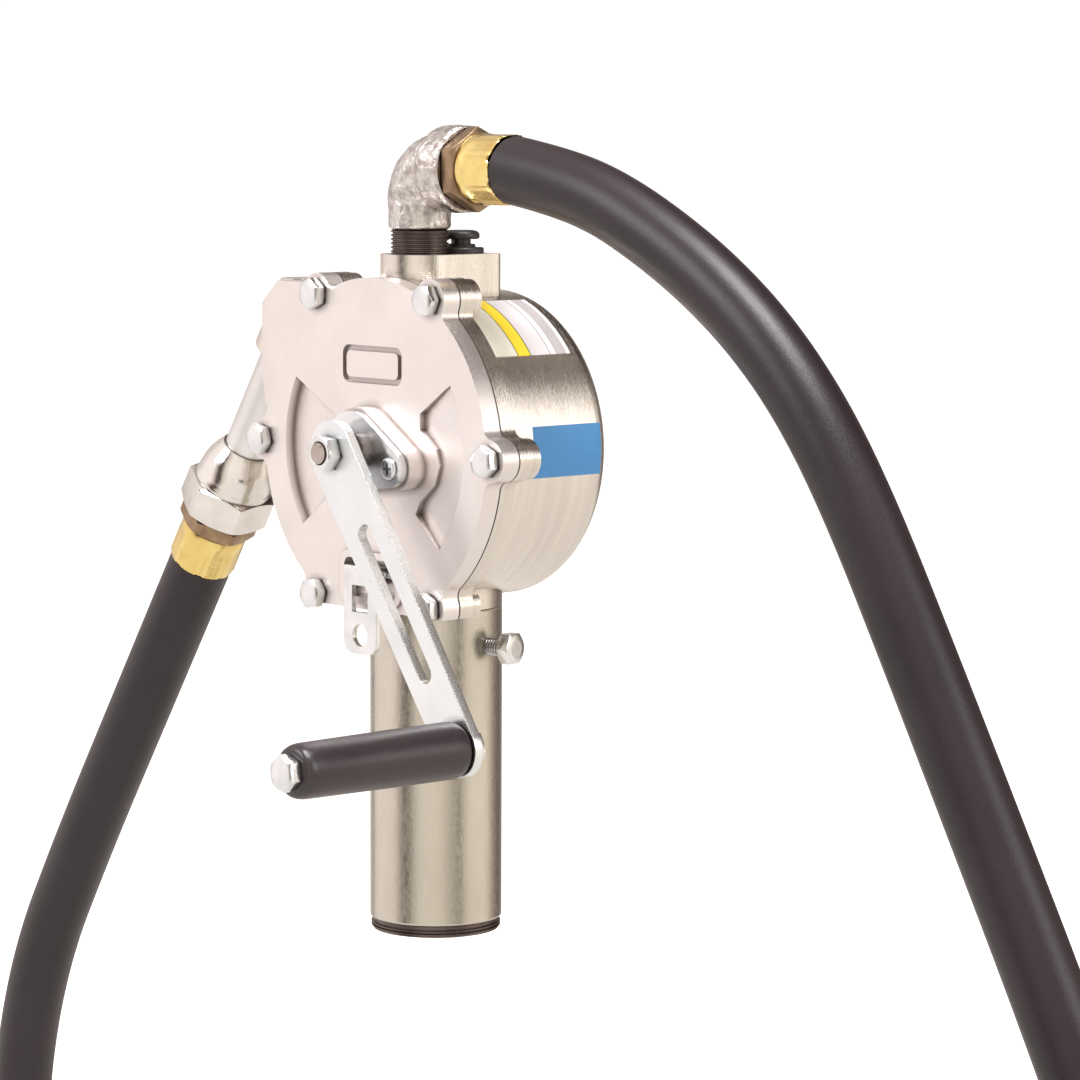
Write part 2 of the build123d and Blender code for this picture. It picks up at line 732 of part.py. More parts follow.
def make_rotor():
    body = rod_y(rotor_radius, rotor_front(), rotor_back(), 0, shaft_height)
    body -= rod_y(shaft_radius + running_gap, rotor_front() - 1, rotor_back() + 1, 0, shaft_height)
    half = vane_thickness / 2 + slip_gap
    for index in range(vane_count):
        slot = block(vane_slot_floor, rotor_radius + 5, rotor_front() - 1, rotor_back() + 1, -half, half)
        body -= around_shaft(slot, index)
    key_top = shaft_height + shaft_radius + key_depth + 2 * thread_gap
    half_key = key_width / 2 + thread_gap
    return body - block(-half_key, half_key, rotor_front() - 1, rotor_back() + 1, shaft_height, key_top)


def make_vanes():
    half = vane_thickness / 2
    vanes = []
    for index in range(vane_count):
        vane = block(vane_inner, rotor_radius - 0.4, rotor_front(), rotor_back(), -half, half)
        vanes.append(around_shaft(vane, index))
    return Compound(children=vanes)


def make_vane_springs():
    springs = []
    for index in range(vane_count):
        coil = make_spring(spring_coil_radius, spring_wire, vane_slot_floor, vane_inner, spring_turns)
        springs.append(around_shaft(Rot(0, 90, 0) * coil, index))
    return Compound(children=springs)


def crank_turned(body):
    """Puts a body drawn hanging straight down from the shaft at the crank's lean."""
    return Pos(0, 0, shaft_height) * Rot(0, -crank_lean, 0) * body


def make_crank_arm():
    span = crank_length
    half = degrees(atan2((span**2 - (arm_big - arm_small)**2) ** 0.5, arm_big - arm_small))
    corners = []
    for side, radius, drop in ((1, arm_big, 0), (1, arm_small, span), (-1, arm_small, span), (-1, arm_big, 0)):
        across = side * radius * sin(radians(half))
        corners.append((across, -drop - radius * cos(radians(half))))
    shape = make_face(Polyline(*corners, close=True)) + Circle(arm_big) + Pos(0, -span) * Circle(arm_small)
    slot_middle = -(arm_slot_start + arm_slot_end) / 2
    slot = SlotOverall(arm_slot_end - arm_slot_start, arm_slot_width)
    shape -= Pos(0, slot_middle) * Rot(0, 0, 90) * slot
    shape -= Pos(0, -span) * Circle(handle_bolt_radius + slip_gap)
    hole = Circle(spigot_radius + slip_gap)
    hole &= Rectangle(3 * spigot_radius, 2 * (spigot_half_flat + slip_gap))
    shape -= Rot(0, 0, -crank_lean) * hole
    return crank_turned(plate(shape, arm_front, arm_back))


def make_crank_nut():
    front = arm_front - shaft_nut_length
    body = hex_y(shaft_nut_flats, front, arm_front, 0, shaft_height)
    return body - rod_y(shaft_thread + thread_gap, front - 1, arm_front + 1, 0, shaft_height)


def make_handle_bolt():
    tip = arm_back + handle_nut_length + 1.4
    body = rod_y(handle_bolt_radius, grip_front - 1, tip, crank_x, crank_z)
    head_front = grip_front - face_gap - handle_bolt_head
    return body + hex_y(handle_bolt_flats, head_front, grip_front - face_gap, crank_x, crank_z)


def make_handle_nut():
    back = arm_back + handle_nut_length
    body = hex_y(handle_bolt_flats, arm_back, back, crank_x, crank_z)
    return body - rod_y(handle_bolt_radius + thread_gap, arm_back - 1, back + 1, crank_x, crank_z)


def make_handle_grip():
    body = rod_y(grip_radius, grip_front, grip_front + grip_length, crank_x, crank_z)
    ends = body.edges().filter_by(GeomType.CIRCLE)
    body = fillet(ends, grip_end_round)
    bore = handle_bolt_radius + running_gap
    return body - rod_y(bore, grip_front - 1, arm_front, crank_x, crank_z)


def make_drum_sticker():
    inner = drum_radius + slip_gap
    ring = Circle(inner + sticker_thickness) - Circle(inner)
    reach = 2 * drum_radius
    edges = []
    for angle in (sticker_from, sticker_to):
        edges.append((reach * cos(radians(angle)), reach * sin(radians(angle))))
    ring &= make_face(Polyline((0, 0), edges[0], edges[1], close=True))
    return plate(Pos(0, shaft_height) * ring, sticker_front, sticker_back)


def build_parts():
    return {
        "bung_adapter": make_bung_adapter(),
        "adapter_set_bolt": make_adapter_set_bolt(),
        "pump_housing": make_pump_housing(),
        "front_cover": make_front_cover(),
        "cover_gasket": make_cover_gasket(),
        "cover_bolts": make_cover_bolts(),
        "front_bush": make_bush(front_bush_back - front_bush_length + slip_gap, front_bush_back),
        "rear_bush": make_bush(chamber_back + slip_gap, chamber_back + rear_bush_length),
        "shaft_packing": make_shaft_packing(),
        "gland_plate": make_gland_plate(),
        "gland_screw": make_gland_screw(),
        "inlet_strainer": make_inlet_strainer(),
        "outlet_elbow": make_outlet_elbow(),
        "breaker_base": make_breaker_base(),
        "breaker_cap": make_breaker_cap(),
        "breaker_spring": make_breaker_spring(),
        "hose_nipple_outlet": make_nipple(at_outlet),
        "hose_ferrule_outlet": make_ferrule(at_outlet),
        "hose": make_hose(),
        "hose_ferrule_spout": make_ferrule(at_spout),
        "hose_nipple_spout": make_nipple(at_spout),
        "spout_coupling": make_spout_coupling(),
        "spout_tube": make_spout_tube(),
        "hasp_pin": make_hasp_pin(),
        "lock_hasp": make_lock_hasp(),
        "shaft": make_shaft(),
        "rotor": make_rotor(),
        "rotor_key": make_rotor_key(),
        "vanes": make_vanes(),
        "vane_springs": make_vane_springs(),
        "crank_arm": make_crank_arm(),
        "crank_nut": make_crank_nut(),
        "handle_bolt": make_handle_bolt(),
        "handle_nut": make_handle_nut(),
        "handle_grip": make_handle_grip(),
        "drum_sticker": make_drum_sticker(),
    }


os.makedirs("parts", exist_ok=True)
for name, body in build_parts().items():
    export_step(body, f"parts/{name}.step")
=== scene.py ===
from math import atan2, cos, pi, radians, sin

import bpy
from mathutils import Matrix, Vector


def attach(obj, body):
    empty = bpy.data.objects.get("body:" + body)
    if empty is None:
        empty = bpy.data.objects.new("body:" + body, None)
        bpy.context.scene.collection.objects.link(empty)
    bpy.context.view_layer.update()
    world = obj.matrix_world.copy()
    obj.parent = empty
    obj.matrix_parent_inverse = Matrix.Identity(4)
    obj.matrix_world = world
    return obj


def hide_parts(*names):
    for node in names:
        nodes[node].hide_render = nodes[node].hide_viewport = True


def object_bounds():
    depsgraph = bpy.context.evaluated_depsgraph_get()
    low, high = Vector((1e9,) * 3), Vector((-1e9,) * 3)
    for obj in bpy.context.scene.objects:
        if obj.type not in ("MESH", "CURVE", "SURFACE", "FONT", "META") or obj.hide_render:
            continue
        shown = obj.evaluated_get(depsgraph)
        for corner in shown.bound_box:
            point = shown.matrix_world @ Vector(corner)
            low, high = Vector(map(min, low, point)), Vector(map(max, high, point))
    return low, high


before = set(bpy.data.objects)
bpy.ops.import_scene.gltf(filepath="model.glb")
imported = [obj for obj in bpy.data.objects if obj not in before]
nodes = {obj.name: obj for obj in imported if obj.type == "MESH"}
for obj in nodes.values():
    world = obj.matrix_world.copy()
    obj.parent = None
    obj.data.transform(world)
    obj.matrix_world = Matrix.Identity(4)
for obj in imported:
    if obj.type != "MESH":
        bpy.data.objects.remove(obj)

cad_low, cad_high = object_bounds()

# Camera: a long lens a little above the outlet, looking down on the crank side,
# so that the cover, the drum's side and the whole loop of hose near it are in view.
camera_data = bpy.data.cameras.new("camera")
camera = bpy.data.objects.new("camera", camera_data)
bpy.context.collection.objects.link(camera)
camera_data.sensor_width = 36
camera_data.lens = 132.47
camera_data.clip_start = 0.05
camera_data.clip_end = 100
camera.location = (1.367, -1.174, 0.376)
camera.rotation_mode = "XYZ"
camera.rotation_euler = (radians(90 - 6.25), 0, radians(47.84))
camera.rotation_euler.rotate_axis("Z", radians(0.23))
bpy.context.scene.camera = camera


# Delivery hose: eight feet of three-quarter-inch fuel hose, black rubber over a cord
# braid, wrapped in cloth while it cures. It hangs in one loop from outlet to spout.
def new_material(name):
    """A procedural material with its Principled shader, ready for a finish."""
    material = bpy.data.materials.new(name)
    material.use_nodes = True
    return material, material.node_tree, material.node_tree.nodes["Principled BSDF"]


def add_node(tree, kind, **values):
    """One shader node with its input values set by name."""
    node = tree.nodes.new(kind)
    for name, value in values.items():
        node.inputs[name.replace("_", " ")].default_value = value
    return node


def skin_group():
    """Blotches of two colours, painted shade that darkens the colour in corners and creases by
    ambient occlusion, and a fine grain in gloss and relief.
    """
    tree = bpy.data.node_groups.new("surface_skin", "ShaderNodeTree")
    face = tree.interface
    for label, kind, value in (
            ("Colour", "NodeSocketColor", (0.8, 0.8, 0.8, 1)),
            ("Blotch", "NodeSocketColor", (0.6, 0.6, 0.6, 1)),
            ("Corner Shade", "NodeSocketColor", (0.1, 0.08, 0.07, 1)),
            ("Stretch", "NodeSocketVector", (1, 1, 1)),
            ("Blotch Scale", "NodeSocketFloat", 40.0),
            ("Grain Scale", "NodeSocketFloat", 900.0),
            ("Corner Shade Amount", "NodeSocketFloat", 0.6),
            ("Gloss Low", "NodeSocketFloat", 0.25),
            ("Gloss High", "NodeSocketFloat", 0.4),
            ("Relief", "NodeSocketFloat", 0.1)):
        socket = face.new_socket(label, in_out="INPUT", socket_type=kind)
        socket.default_value = value
    for label, kind in (("Colour", "NodeSocketColor"), ("Roughness", "NodeSocketFloat"),
                        ("Normal", "NodeSocketVector")):
        face.new_socket(label, in_out="OUTPUT", socket_type=kind)
    given = tree.nodes.new("NodeGroupInput")
    made = tree.nodes.new("NodeGroupOutput")
    where = tree.nodes.new("ShaderNodeTexCoord")
    stretch = tree.nodes.new("ShaderNodeVectorMath")
    stretch.operation = "MULTIPLY"
    blotch = add_node(tree, "ShaderNodeTexNoise", Detail=4.0, Roughness=0.6)
    grain = add_node(tree, "ShaderNodeTexNoise", Detail=3.0, Roughness=0.7)
    spread = add_node(tree, "ShaderNodeMapRange", From_Min=0.38, From_Max=0.66)
    tint = tree.nodes.new("ShaderNodeMix")
    tint.data_type = "RGBA"
    # Painted shade: ambient occlusion pulls the colour towards the group's darker shade colour in
    # corners and creases, where shade falls.
    corner = add_node(tree, "ShaderNodeAmbientOcclusion", Distance=0.004)
    corner.samples = 4
    shut = add_node(tree, "ShaderNodeMapRange", From_Min=0.95, From_Max=0.35)
    amount = tree.nodes.new("ShaderNodeMath")
    amount.operation = "MULTIPLY"
    corner_shading = tree.nodes.new("ShaderNodeMix")
    corner_shading.data_type = "RGBA"
    gloss = add_node(tree, "ShaderNodeMapRange", From_Min=0.3, From_Max=0.7)
    bump = add_node(tree, "ShaderNodeBump", Distance=0.0004)
    link = tree.links.new
    link(where.outputs["Object"], stretch.inputs[0])
    link(given.outputs["Stretch"], stretch.inputs[1])
    link(stretch.outputs[0], blotch.inputs["Vector"])
    link(stretch.outputs[0], grain.inputs["Vector"])
    link(given.outputs["Blotch Scale"], blotch.inputs["Scale"])
    link(given.outputs["Grain Scale"], grain.inputs["Scale"])
    link(blotch.outputs[0], spread.inputs["Value"])
    link(spread.outputs[0], tint.inputs["Factor"])
    link(given.outputs["Colour"], tint.inputs["A"])
    link(given.outputs["Blotch"], tint.inputs["B"])
    link(corner.outputs["AO"], shut.inputs["Value"])
    link(shut.outputs[0], amount.inputs[0])
    link(given.outputs["Corner Shade Amount"], amount.inputs[1])
    link(amount.outputs[0], corner_shading.inputs["Factor"])
    link(tint.outputs["Result"], corner_shading.inputs["A"])
    link(given.outputs["Corner Shade"], corner_shading.inputs["B"])
    link(grain.outputs[0], gloss.inputs["Value"])
    link(given.outputs["Gloss Low"], gloss.inputs["To Min"])
    link(given.outputs["Gloss High"], gloss.inputs["To Max"])
    link(given.outputs["Relief"], bump.inputs["Strength"])
    link(grain.outputs[0], bump.inputs["Height"])
    link(corner_shading.outputs["Result"], made.inputs["Colour"])
    link(gloss.outputs[0], made.inputs["Roughness"])
    link(bump.outputs[0], made.inputs["Normal"])
    return tree


surface_skin = skin_group()


def skinned(name, metal, colour, blotch, gloss, relief=0.1, stretch=(1, 1, 1),
            blotch_scale=40.0, grain_scale=900.0, corner_shade=(0.10, 0.08, 0.07), corner_shade_amount=0.6):
    """A finish made with the shared skin: its own colours, gloss, grain and painted shade in the
    corners.
    """
    material, tree, shader = new_material(name)
    skin = tree.nodes.new("ShaderNodeGroup")
    skin.node_tree = surface_skin
    values = {"Colour": (*colour, 1), "Blotch": (*blotch, 1), "Corner Shade": (*corner_shade, 1),
              "Stretch": stretch, "Blotch Scale": blotch_scale, "Grain Scale": grain_scale,
              "Corner Shade Amount": corner_shade_amount, "Gloss Low": gloss[0], "Gloss High": gloss[1],
              "Relief": relief}
    for label, value in values.items():
        skin.inputs[label].default_value = value
    shader.inputs["Metallic"].default_value = metal
    tree.links.new(skin.outputs["Colour"], shader.inputs["Base Color"])
    tree.links.new(skin.outputs["Roughness"], shader.inputs["Roughness"])
    tree.links.new(skin.outputs["Normal"], shader.inputs["Normal"])
    return material


hose_rubber = skinned("hose_rubber", 0.0, (0.019, 0.012, 0.015), (0.014, 0.009, 0.011),
                      (0.30, 0.43), relief=0.22, blotch_scale=14.0, grain_scale=1400.0,
                      corner_shade_amount=0.2)
hose_rubber.node_tree.nodes["Principled BSDF"].inputs["Specular IOR Level"].default_value = 0.36
hose_radius = 0.0151
outlet_y = -0.010
hose_start = (0.0632, outlet_y, 0.3475)
hose_end = (-0.163, outlet_y, 0.1557)
hose_line = [
    hose_start,
    (0.090, outlet_y, 0.3435), (0.122, outlet_y, 0.3355), (0.154, outlet_y, 0.3215),
    (0.186, outlet_y, 0.3040), (0.2175, outlet_y, 0.2815), (0.2470, outlet_y, 0.2520),
    (0.274, outlet_y, 0.2140), (0.306, outlet_y, 0.1590), (0.345, outlet_y, 0.0900),
    (0.382, -0.009, 0.0220), (0.411, -0.002, -0.0480), (0.429, 0.014, -0.1220),
    (0.431, 0.037, -0.2080), (0.404, 0.060, -0.3510), (0.316, 0.074, -0.499),
    (0.182, 0.078, -0.596),
    (0.028, 0.073, -0.632), (-0.120, 0.061, -0.606), (-0.240, 0.045, -0.528),
    (-0.314, 0.027, -0.420), (-0.343, 0.012, -0.290), (-0.340, 0.000, -0.165),
    (-0.312, -0.006, -0.072), (-0.262, -0.009, 0.006), (-0.2065, outlet_y, 0.0890),
    hose_end,
]
hose_curve = bpy.data.curves.new("delivery_hose", "CURVE")
hose_curve.dimensions = "3D"
spline = hose_curve.splines.new("NURBS")
spline.points.add(len(hose_line) - 1)
for point, place in zip(spline.points, hose_line):
    point.co = (*place, 1)
spline.order_u = 3
spline.use_endpoint_u = True
hose_curve.resolution_u = 24
hose_curve.bevel_depth = hose_radius
hose_curve.bevel_resolution = 10
hose_curve.use_fill_caps = True
hose_curve.materials.append(hose_rubber)
delivery_hose = bpy.data.objects.new("delivery_hose", hose_curve)
bpy.context.collection.objects.link(delivery_hose)
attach(delivery_hose, "pump")
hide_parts("hose")


# Bung adapter: a length of two-inch pipe, cut off square, threaded at its foot for the
# drum's bung and galvanised. Its thread is dark where the zinc was cut away.
def turned(name, rings, around=96, material=None):
    """A turned piece, raised ring by ring (radius, height) from its first circle on Z."""
    bpy.ops.object.select_all(action="DESELECT")
    radius, height = rings[0]
    bpy.ops.mesh.primitive_circle_add(vertices=around, radius=radius, location=(0, 0, height))
    piece = bpy.context.object
    piece.name = name
    bpy.ops.object.transform_apply(location=True, rotation=True, scale=True)
    bpy.ops.object.mode_set(mode="EDIT")
    bpy.ops.mesh.select_all(action="SELECT")
    for (r0, z0), (r1, z1) in zip(rings, rings[1:]):
        bpy.ops.mesh.extrude_region_move(TRANSFORM_OT_translate={"value": (0, 0, z1 - z0)})
        bpy.ops.transform.resize(value=(r1 / r0, r1 / r0, 1), center_override=(0, 0, z1))
    bpy.ops.mesh.select_all(action="SELECT")
    bpy.ops.mesh.remove_doubles(threshold=0.000005)
    bpy.ops.mesh.fill_holes(sides=0)
    bpy.ops.mesh.normals_make_consistent(inside=False)
    bpy.ops.object.mode_set(mode="OBJECT")
    bpy.ops.object.shade_smooth_by_angle(angle=radians(32))
    if material:
        piece.data.materials.append(material)
    return piece


def set_down(piece, place, turn=(0, 0, 0)):
    """Moves a finished piece to its place and puts that place into its mesh."""
    bpy.ops.object.select_all(action="DESELECT")
    piece.select_set(True)
    bpy.context.view_layer.objects.active = piece
    piece.rotation_euler = [radians(angle) for angle in turn]
    piece.location = place
    bpy.ops.object.transform_apply(location=True, rotation=True, scale=True)
    return piece


def thread_rings(root, crest, low, high, pitch):
    """Rings of a cut thread, a flat-bottomed groove and a narrow crest each pitch."""
    rings = []
    count = int((high - low) / pitch)
    for index in range(count):
        foot = low + index * pitch
        rings += [(root, foot), (root, foot + 0.25 * pitch), (crest, foot + 0.5 * pitch),
                  (crest, foot + 0.75 * pitch)]
    return rings + [(root, low + count * pitch)]


galvanised = skinned("galvanised_steel", 1.0, (0.67, 0.63, 0.555), (0.57, 0.53, 0.46),
                     (0.20, 0.33), relief=0.12, stretch=(1, 1, 0.35), blotch_scale=26.0,
                     grain_scale=700.0, corner_shade=(0.16, 0.12, 0.10))
cut_thread = skinned("cut_thread", 1.0, (0.20, 0.155, 0.145), (0.13, 0.10, 0.095),
                     (0.30, 0.45), relief=0.2, blotch_scale=90.0)
adapter_top = 0.149
pipe_radius = 0.03015
pipe_bore = 0.02625
thread_end = 0.0056
adapter = turned("bung_pipe", [
    (0.0272, 0.0), (0.0288, 0.0)] + thread_rings(0.0287, 0.02965, 0.0004, 0.0049, 0.0015) + [
    (0.0288, 0.0050), (0.0299, thread_end), (pipe_radius, 0.0060), (pipe_radius, 0.0066),
    (pipe_radius, 0.060), (pipe_radius, 0.110), (pipe_radius, adapter_top - 0.0006),
    (0.0297, adapter_top), (0.02655, adapter_top), (pipe_bore, adapter_top - 0.0005),
    (pipe_bore, 0.0010), (0.0272, 0.0)], around=128)
adapter.data.materials.append(galvanised)
adapter.data.materials.append(cut_thread)
for face in adapter.data.polygons:
    threaded = face.center.z < thread_end and face.center.xy.length > 0.0275
    face.material_index = 1 if threaded else 0
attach(adapter, "adapter")
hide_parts("bung_adapter")


# Set bolt: a 5/16 inch hexagon bolt, zinc plated, screwed through the adapter's wall to
# hold the pump's neck. Its thread shows between the pipe and the head.
def hexagon_bar(name, flats, low, high, crown=0.0, bore=0.0, material=None):
    """A hexagonal bar on Z, its corners turned off at both ends, bored if a bore is given."""
    bpy.ops.object.select_all(action="DESELECT")
    corner = flats / 3 ** 0.5
    bpy.ops.mesh.primitive_circle_add(vertices=6, radius=corner, fill_type="NGON",
                                      location=(0, 0, low))
    piece = bpy.context.object
    piece.name = name
    bpy.ops.object.transform_apply(location=True, rotation=True, scale=True)
    bpy.ops.object.mode_set(mode="EDIT")
    bpy.ops.mesh.select_all(action="SELECT")
    bpy.ops.mesh.extrude_region_move(TRANSFORM_OT_translate={"value": (0, 0, high - low)})
    bpy.ops.mesh.select_all(action="SELECT")
    bpy.ops.mesh.normals_make_consistent(inside=False)
    bpy.ops.object.mode_set(mode="OBJECT")
    slope = (corner - flats / 2) * 0.55
    cutter = turned(name + "_cutter", [
        (flats * 0.478, low), (corner * 1.01, low + slope + 0.0002),
        (corner * 1.01, high - slope - 0.0002 - crown), (flats * 0.478, high - crown),
        (flats * 0.30, high), (flats * 0.1, high + crown * 0.3)], around=48)
    turn_off = piece.modifiers.new("turn_off", "BOOLEAN")
    turn_off.operation = "INTERSECT"
    turn_off.object = cutter
    tools = [cutter]
    if bore:
        tools.append(turned(name + "_drill", [
            (bore + 0.0012, low - 0.001), (bore + 0.0003, low + 0.0003), (bore, low + 0.0006),
            (bore, high - 0.0006), (bore + 0.0003, high - 0.0003), (bore + 0.0012, high + 0.001)],
            around=48))
        drill = piece.modifiers.new("drill", "BOOLEAN")
        drill.operation = "DIFFERENCE"
        drill.object = tools[-1]
    edge = piece.modifiers.new("edge", "BEVEL")
    edge.width = flats * 0.012
    edge.segments = 2
    edge.limit_method = "ANGLE"
    edge.angle_limit = radians(24)
    bpy.ops.object.select_all(action="DESELECT")
    piece.select_set(True)
    bpy.context.view_layer.objects.active = piece
    for modifier in [m.name for m in piece.modifiers]:
        bpy.ops.object.modifier_apply(modifier=modifier)
    for tool in tools:
        bpy.data.objects.remove(tool)
    bpy.ops.object.shade_smooth_by_angle(angle=radians(32))
    piece.data.materials.clear()
    if material:
        piece.data.materials.append(material)
    return piece


def joined(name, pieces):
    """Several bits of one piece, made one mesh."""
    bpy.ops.object.select_all(action="DESELECT")
    for piece in pieces:
        piece.select_set(True)
    bpy.context.view_layer.objects.active = pieces[0]
    bpy.ops.object.join()
    pieces[0].name = name
    return pieces[0]


zinc = skinned("zinc_plate", 1.0, (0.86, 0.865, 0.87), (0.74, 0.755, 0.78), (0.16, 0.27),
               relief=0.045, blotch_scale=90.0, grain_scale=2200.0, corner_shade=(0.07, 0.06, 0.06),
               corner_shade_amount=0.75)
bolt_pitch = 0.00141
set_bolt_height = 0.132
set_bolt = joined("set_bolt", [
    hexagon_bar("set_bolt_head", 0.0135, 0.0385, 0.045, crown=0.0005, material=zinc),
    turned("set_bolt_thread", [(0.0030, 0.0242)]
           + thread_rings(0.00335, 0.00394, 0.0248, 0.0383, bolt_pitch)
           + [(0.0037, 0.0384), (0.0037, 0.0388)], around=40, material=zinc)])
set_down(set_bolt, (0, 0, 0), (0, 90, 0))
set_down(set_bolt, (0, 0, set_bolt_height), (0, 0, 13))
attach(set_bolt, "adapter")
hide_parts("adapter_set_bolt")


# Pump housing: one aluminium casting, its drum bored for the rotor and turned outside,
# with the flange, the outlet block, the neck and the cup that holds the parked spout.
def eased(node, name, width):
    """A copy of a cast or pressed piece with its sharp edges eased."""
    piece = nodes[node].copy()
    piece.data = nodes[node].data.copy()
    piece.name = name
    bpy.context.collection.objects.link(piece)
    bpy.ops.object.select_all(action="DESELECT")
    piece.parent = None
    piece.select_set(True)
    bpy.context.view_layer.objects.active = piece
    bpy.ops.object.mode_set(mode="EDIT")
    bpy.ops.mesh.select_all(action="SELECT")
    bpy.ops.mesh.customdata_custom_splitnormals_clear()
    bpy.ops.mesh.remove_doubles(threshold=0.00002)
    bpy.ops.mesh.dissolve_limited(angle_limit=radians(1.0))
    bpy.ops.object.mode_set(mode="OBJECT")
    edge = piece.modifiers.new("edge", "BEVEL")
    edge.width = width
    edge.segments = 2
    edge.limit_method = "ANGLE"
    edge.angle_limit = radians(34)
    edge.use_clamp_overlap = True
    edge.miter_outer = "MITER_ARC"
    bpy.ops.object.modifier_apply(modifier="edge")
    bpy.ops.object.shade_smooth_by_angle(angle=radians(40))
    even = piece.modifiers.new("even", "WEIGHTED_NORMAL")
    even.keep_sharp = True
    even.weight = 100
    bpy.ops.object.modifier_apply(modifier="even")
    return piece


cast_aluminium = skinned("cast_aluminium", 1.0, (0.86, 0.805, 0.79), (0.79, 0.735, 0.72),
                         (0.30, 0.44), relief=0.14, blotch_scale=22.0, grain_scale=800.0,
                         corner_shade=(0.13, 0.09, 0.08), corner_shade_amount=0.75)
drum_metal = skinned("turned_aluminium", 1.0, (0.80, 0.75, 0.69), (0.70, 0.65, 0.60),
                     (0.17, 0.33), relief=0.12, stretch=(1, 14, 1), blotch_scale=9.0,
                     grain_scale=260.0, corner_shade=(0.13, 0.09, 0.08), corner_shade_amount=0.75)
drum_tree = drum_metal.node_tree
drum_shader = drum_tree.nodes["Principled BSDF"]
drum_skin = next(node for node in drum_tree.nodes if node.type == "GROUP")
where = drum_tree.nodes.new("ShaderNodeTexCoord")
split = drum_tree.nodes.new("ShaderNodeSeparateXYZ")
drum_tree.links.new(where.outputs["Object"], split.inputs[0])
painted = None
band = (("X", 0.0695, 0.0009), ("Y", 0.0170, 0.0205), ("Z", 0.2232, 0.0115))
for axis, middle, half in band:
    inside = drum_tree.nodes.new("ShaderNodeMath")
    inside.operation = "COMPARE"
    inside.inputs[1].default_value = middle
    inside.inputs[2].default_value = half
    drum_tree.links.new(split.outputs[axis], inside.inputs[0])
    if painted:
        both = drum_tree.nodes.new("ShaderNodeMath")
        both.operation = "MULTIPLY"
        drum_tree.links.new(painted.outputs[0], both.inputs[0])
        drum_tree.links.new(inside.outputs[0], both.inputs[1])
        painted = both
    else:
        painted = inside
blue_paint = (0.035, 0.165, 0.36, 1)
for target, kind, paint, bare in (
        ("Base Color", "RGBA", blue_paint, drum_skin.outputs["Colour"]),
        ("Metallic", "FLOAT", 0.0, None),
        ("Roughness", "FLOAT", 0.42, drum_skin.outputs["Roughness"])):
    coat = drum_tree.nodes.new("ShaderNodeMix")
    coat.data_type = kind
    drum_tree.links.new(painted.outputs[0], coat.inputs["Factor"])
    coat.inputs["B"].default_value = paint
    if bare is None:
        coat.inputs["A"].default_value = 1.0
    else:
        drum_tree.links.new(bare, coat.inputs["A"])
    drum_tree.links.new(coat.outputs["Result"], drum_shader.inputs[target])
nodes["pump_housing"].data.materials.clear()
nodes["pump_housing"].data.materials.append(drum_metal)


# Front cover: a second aluminium casting, six bolts hold it to the housing's flange. Its
# face carries the gland boss, the lock's pocket, a blank badge and two cast hollows.
cover = eased("front_cover", "cover_casting", 0.0007)
cover.data.materials.clear()
cover.data.materials.append(cast_aluminium)
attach(cover, "pump")
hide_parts("front_cover")


# Cover bolts: six 5/16 inch hexagon bolts, zinc plated, driven through the cover and
# gasket into the housing's flange. One is made and the rest are its copies.
shaft_height = 0.222
bolt_circle = 0.079
cover_face_y = -0.038
first_bolt = joined("cover_bolt", [
    hexagon_bar("cover_bolt_head", 0.0127, 0.0004, 0.0056, crown=0.0005, material=zinc),
    turned("cover_bolt_washer_face", [
        (0.0058, 0.0), (0.0060, 0.0002), (0.0060, 0.0006), (0.0040, 0.0006),
        (0.0040, 0.0002)], around=48, material=zinc),
    turned("cover_bolt_shank", [(0.0039, -0.0212)]
           + thread_rings(0.0034, 0.0039, -0.0210, -0.0100, bolt_pitch)
           + [(0.0039, -0.0098), (0.0039, 0.0004)], around=32, material=zinc)])
for index in range(6):
    bolt = first_bolt.copy()
    bolt.data = first_bolt.data.copy()
    bpy.context.collection.objects.link(bolt)
    bolt.name = "cover_bolt_" + str(index + 1)
    angle = radians(60 * index)
    set_down(bolt, (0, 0, 0), (0, 0, 23 * index + 8))
    set_down(bolt, (bolt_circle * cos(angle), cover_face_y,
                    shaft_height + bolt_circle * sin(angle)), (90, 0, 0))
    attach(bolt, "pump")
    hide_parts("cover_bolts")
bpy.data.objects.remove(first_bolt)


# Gland: a pressed two-lobed plate that squeezes the shaft packing behind it, held by one
# cross-recess screw in its small lobe. Plate and screw are zinc-plated steel.
bright_zinc = skinned("bright_zinc", 1.0, (0.86, 0.86, 0.87), (0.74, 0.75, 0.78), (0.12, 0.24),
                      relief=0.08, blotch_scale=70.0, grain_scale=900.0, corner_shade=(0.06, 0.05, 0.05),
                      corner_shade_amount=0.8)
gland = eased("gland_plate", "gland_cap", 0.0006)
gland.data.materials.clear()
gland.data.materials.append(bright_zinc)
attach(gland, "pump")
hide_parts("gland_plate")
nodes["gland_screw"].data.materials.clear()
nodes["gland_screw"].data.materials.append(bright_zinc)


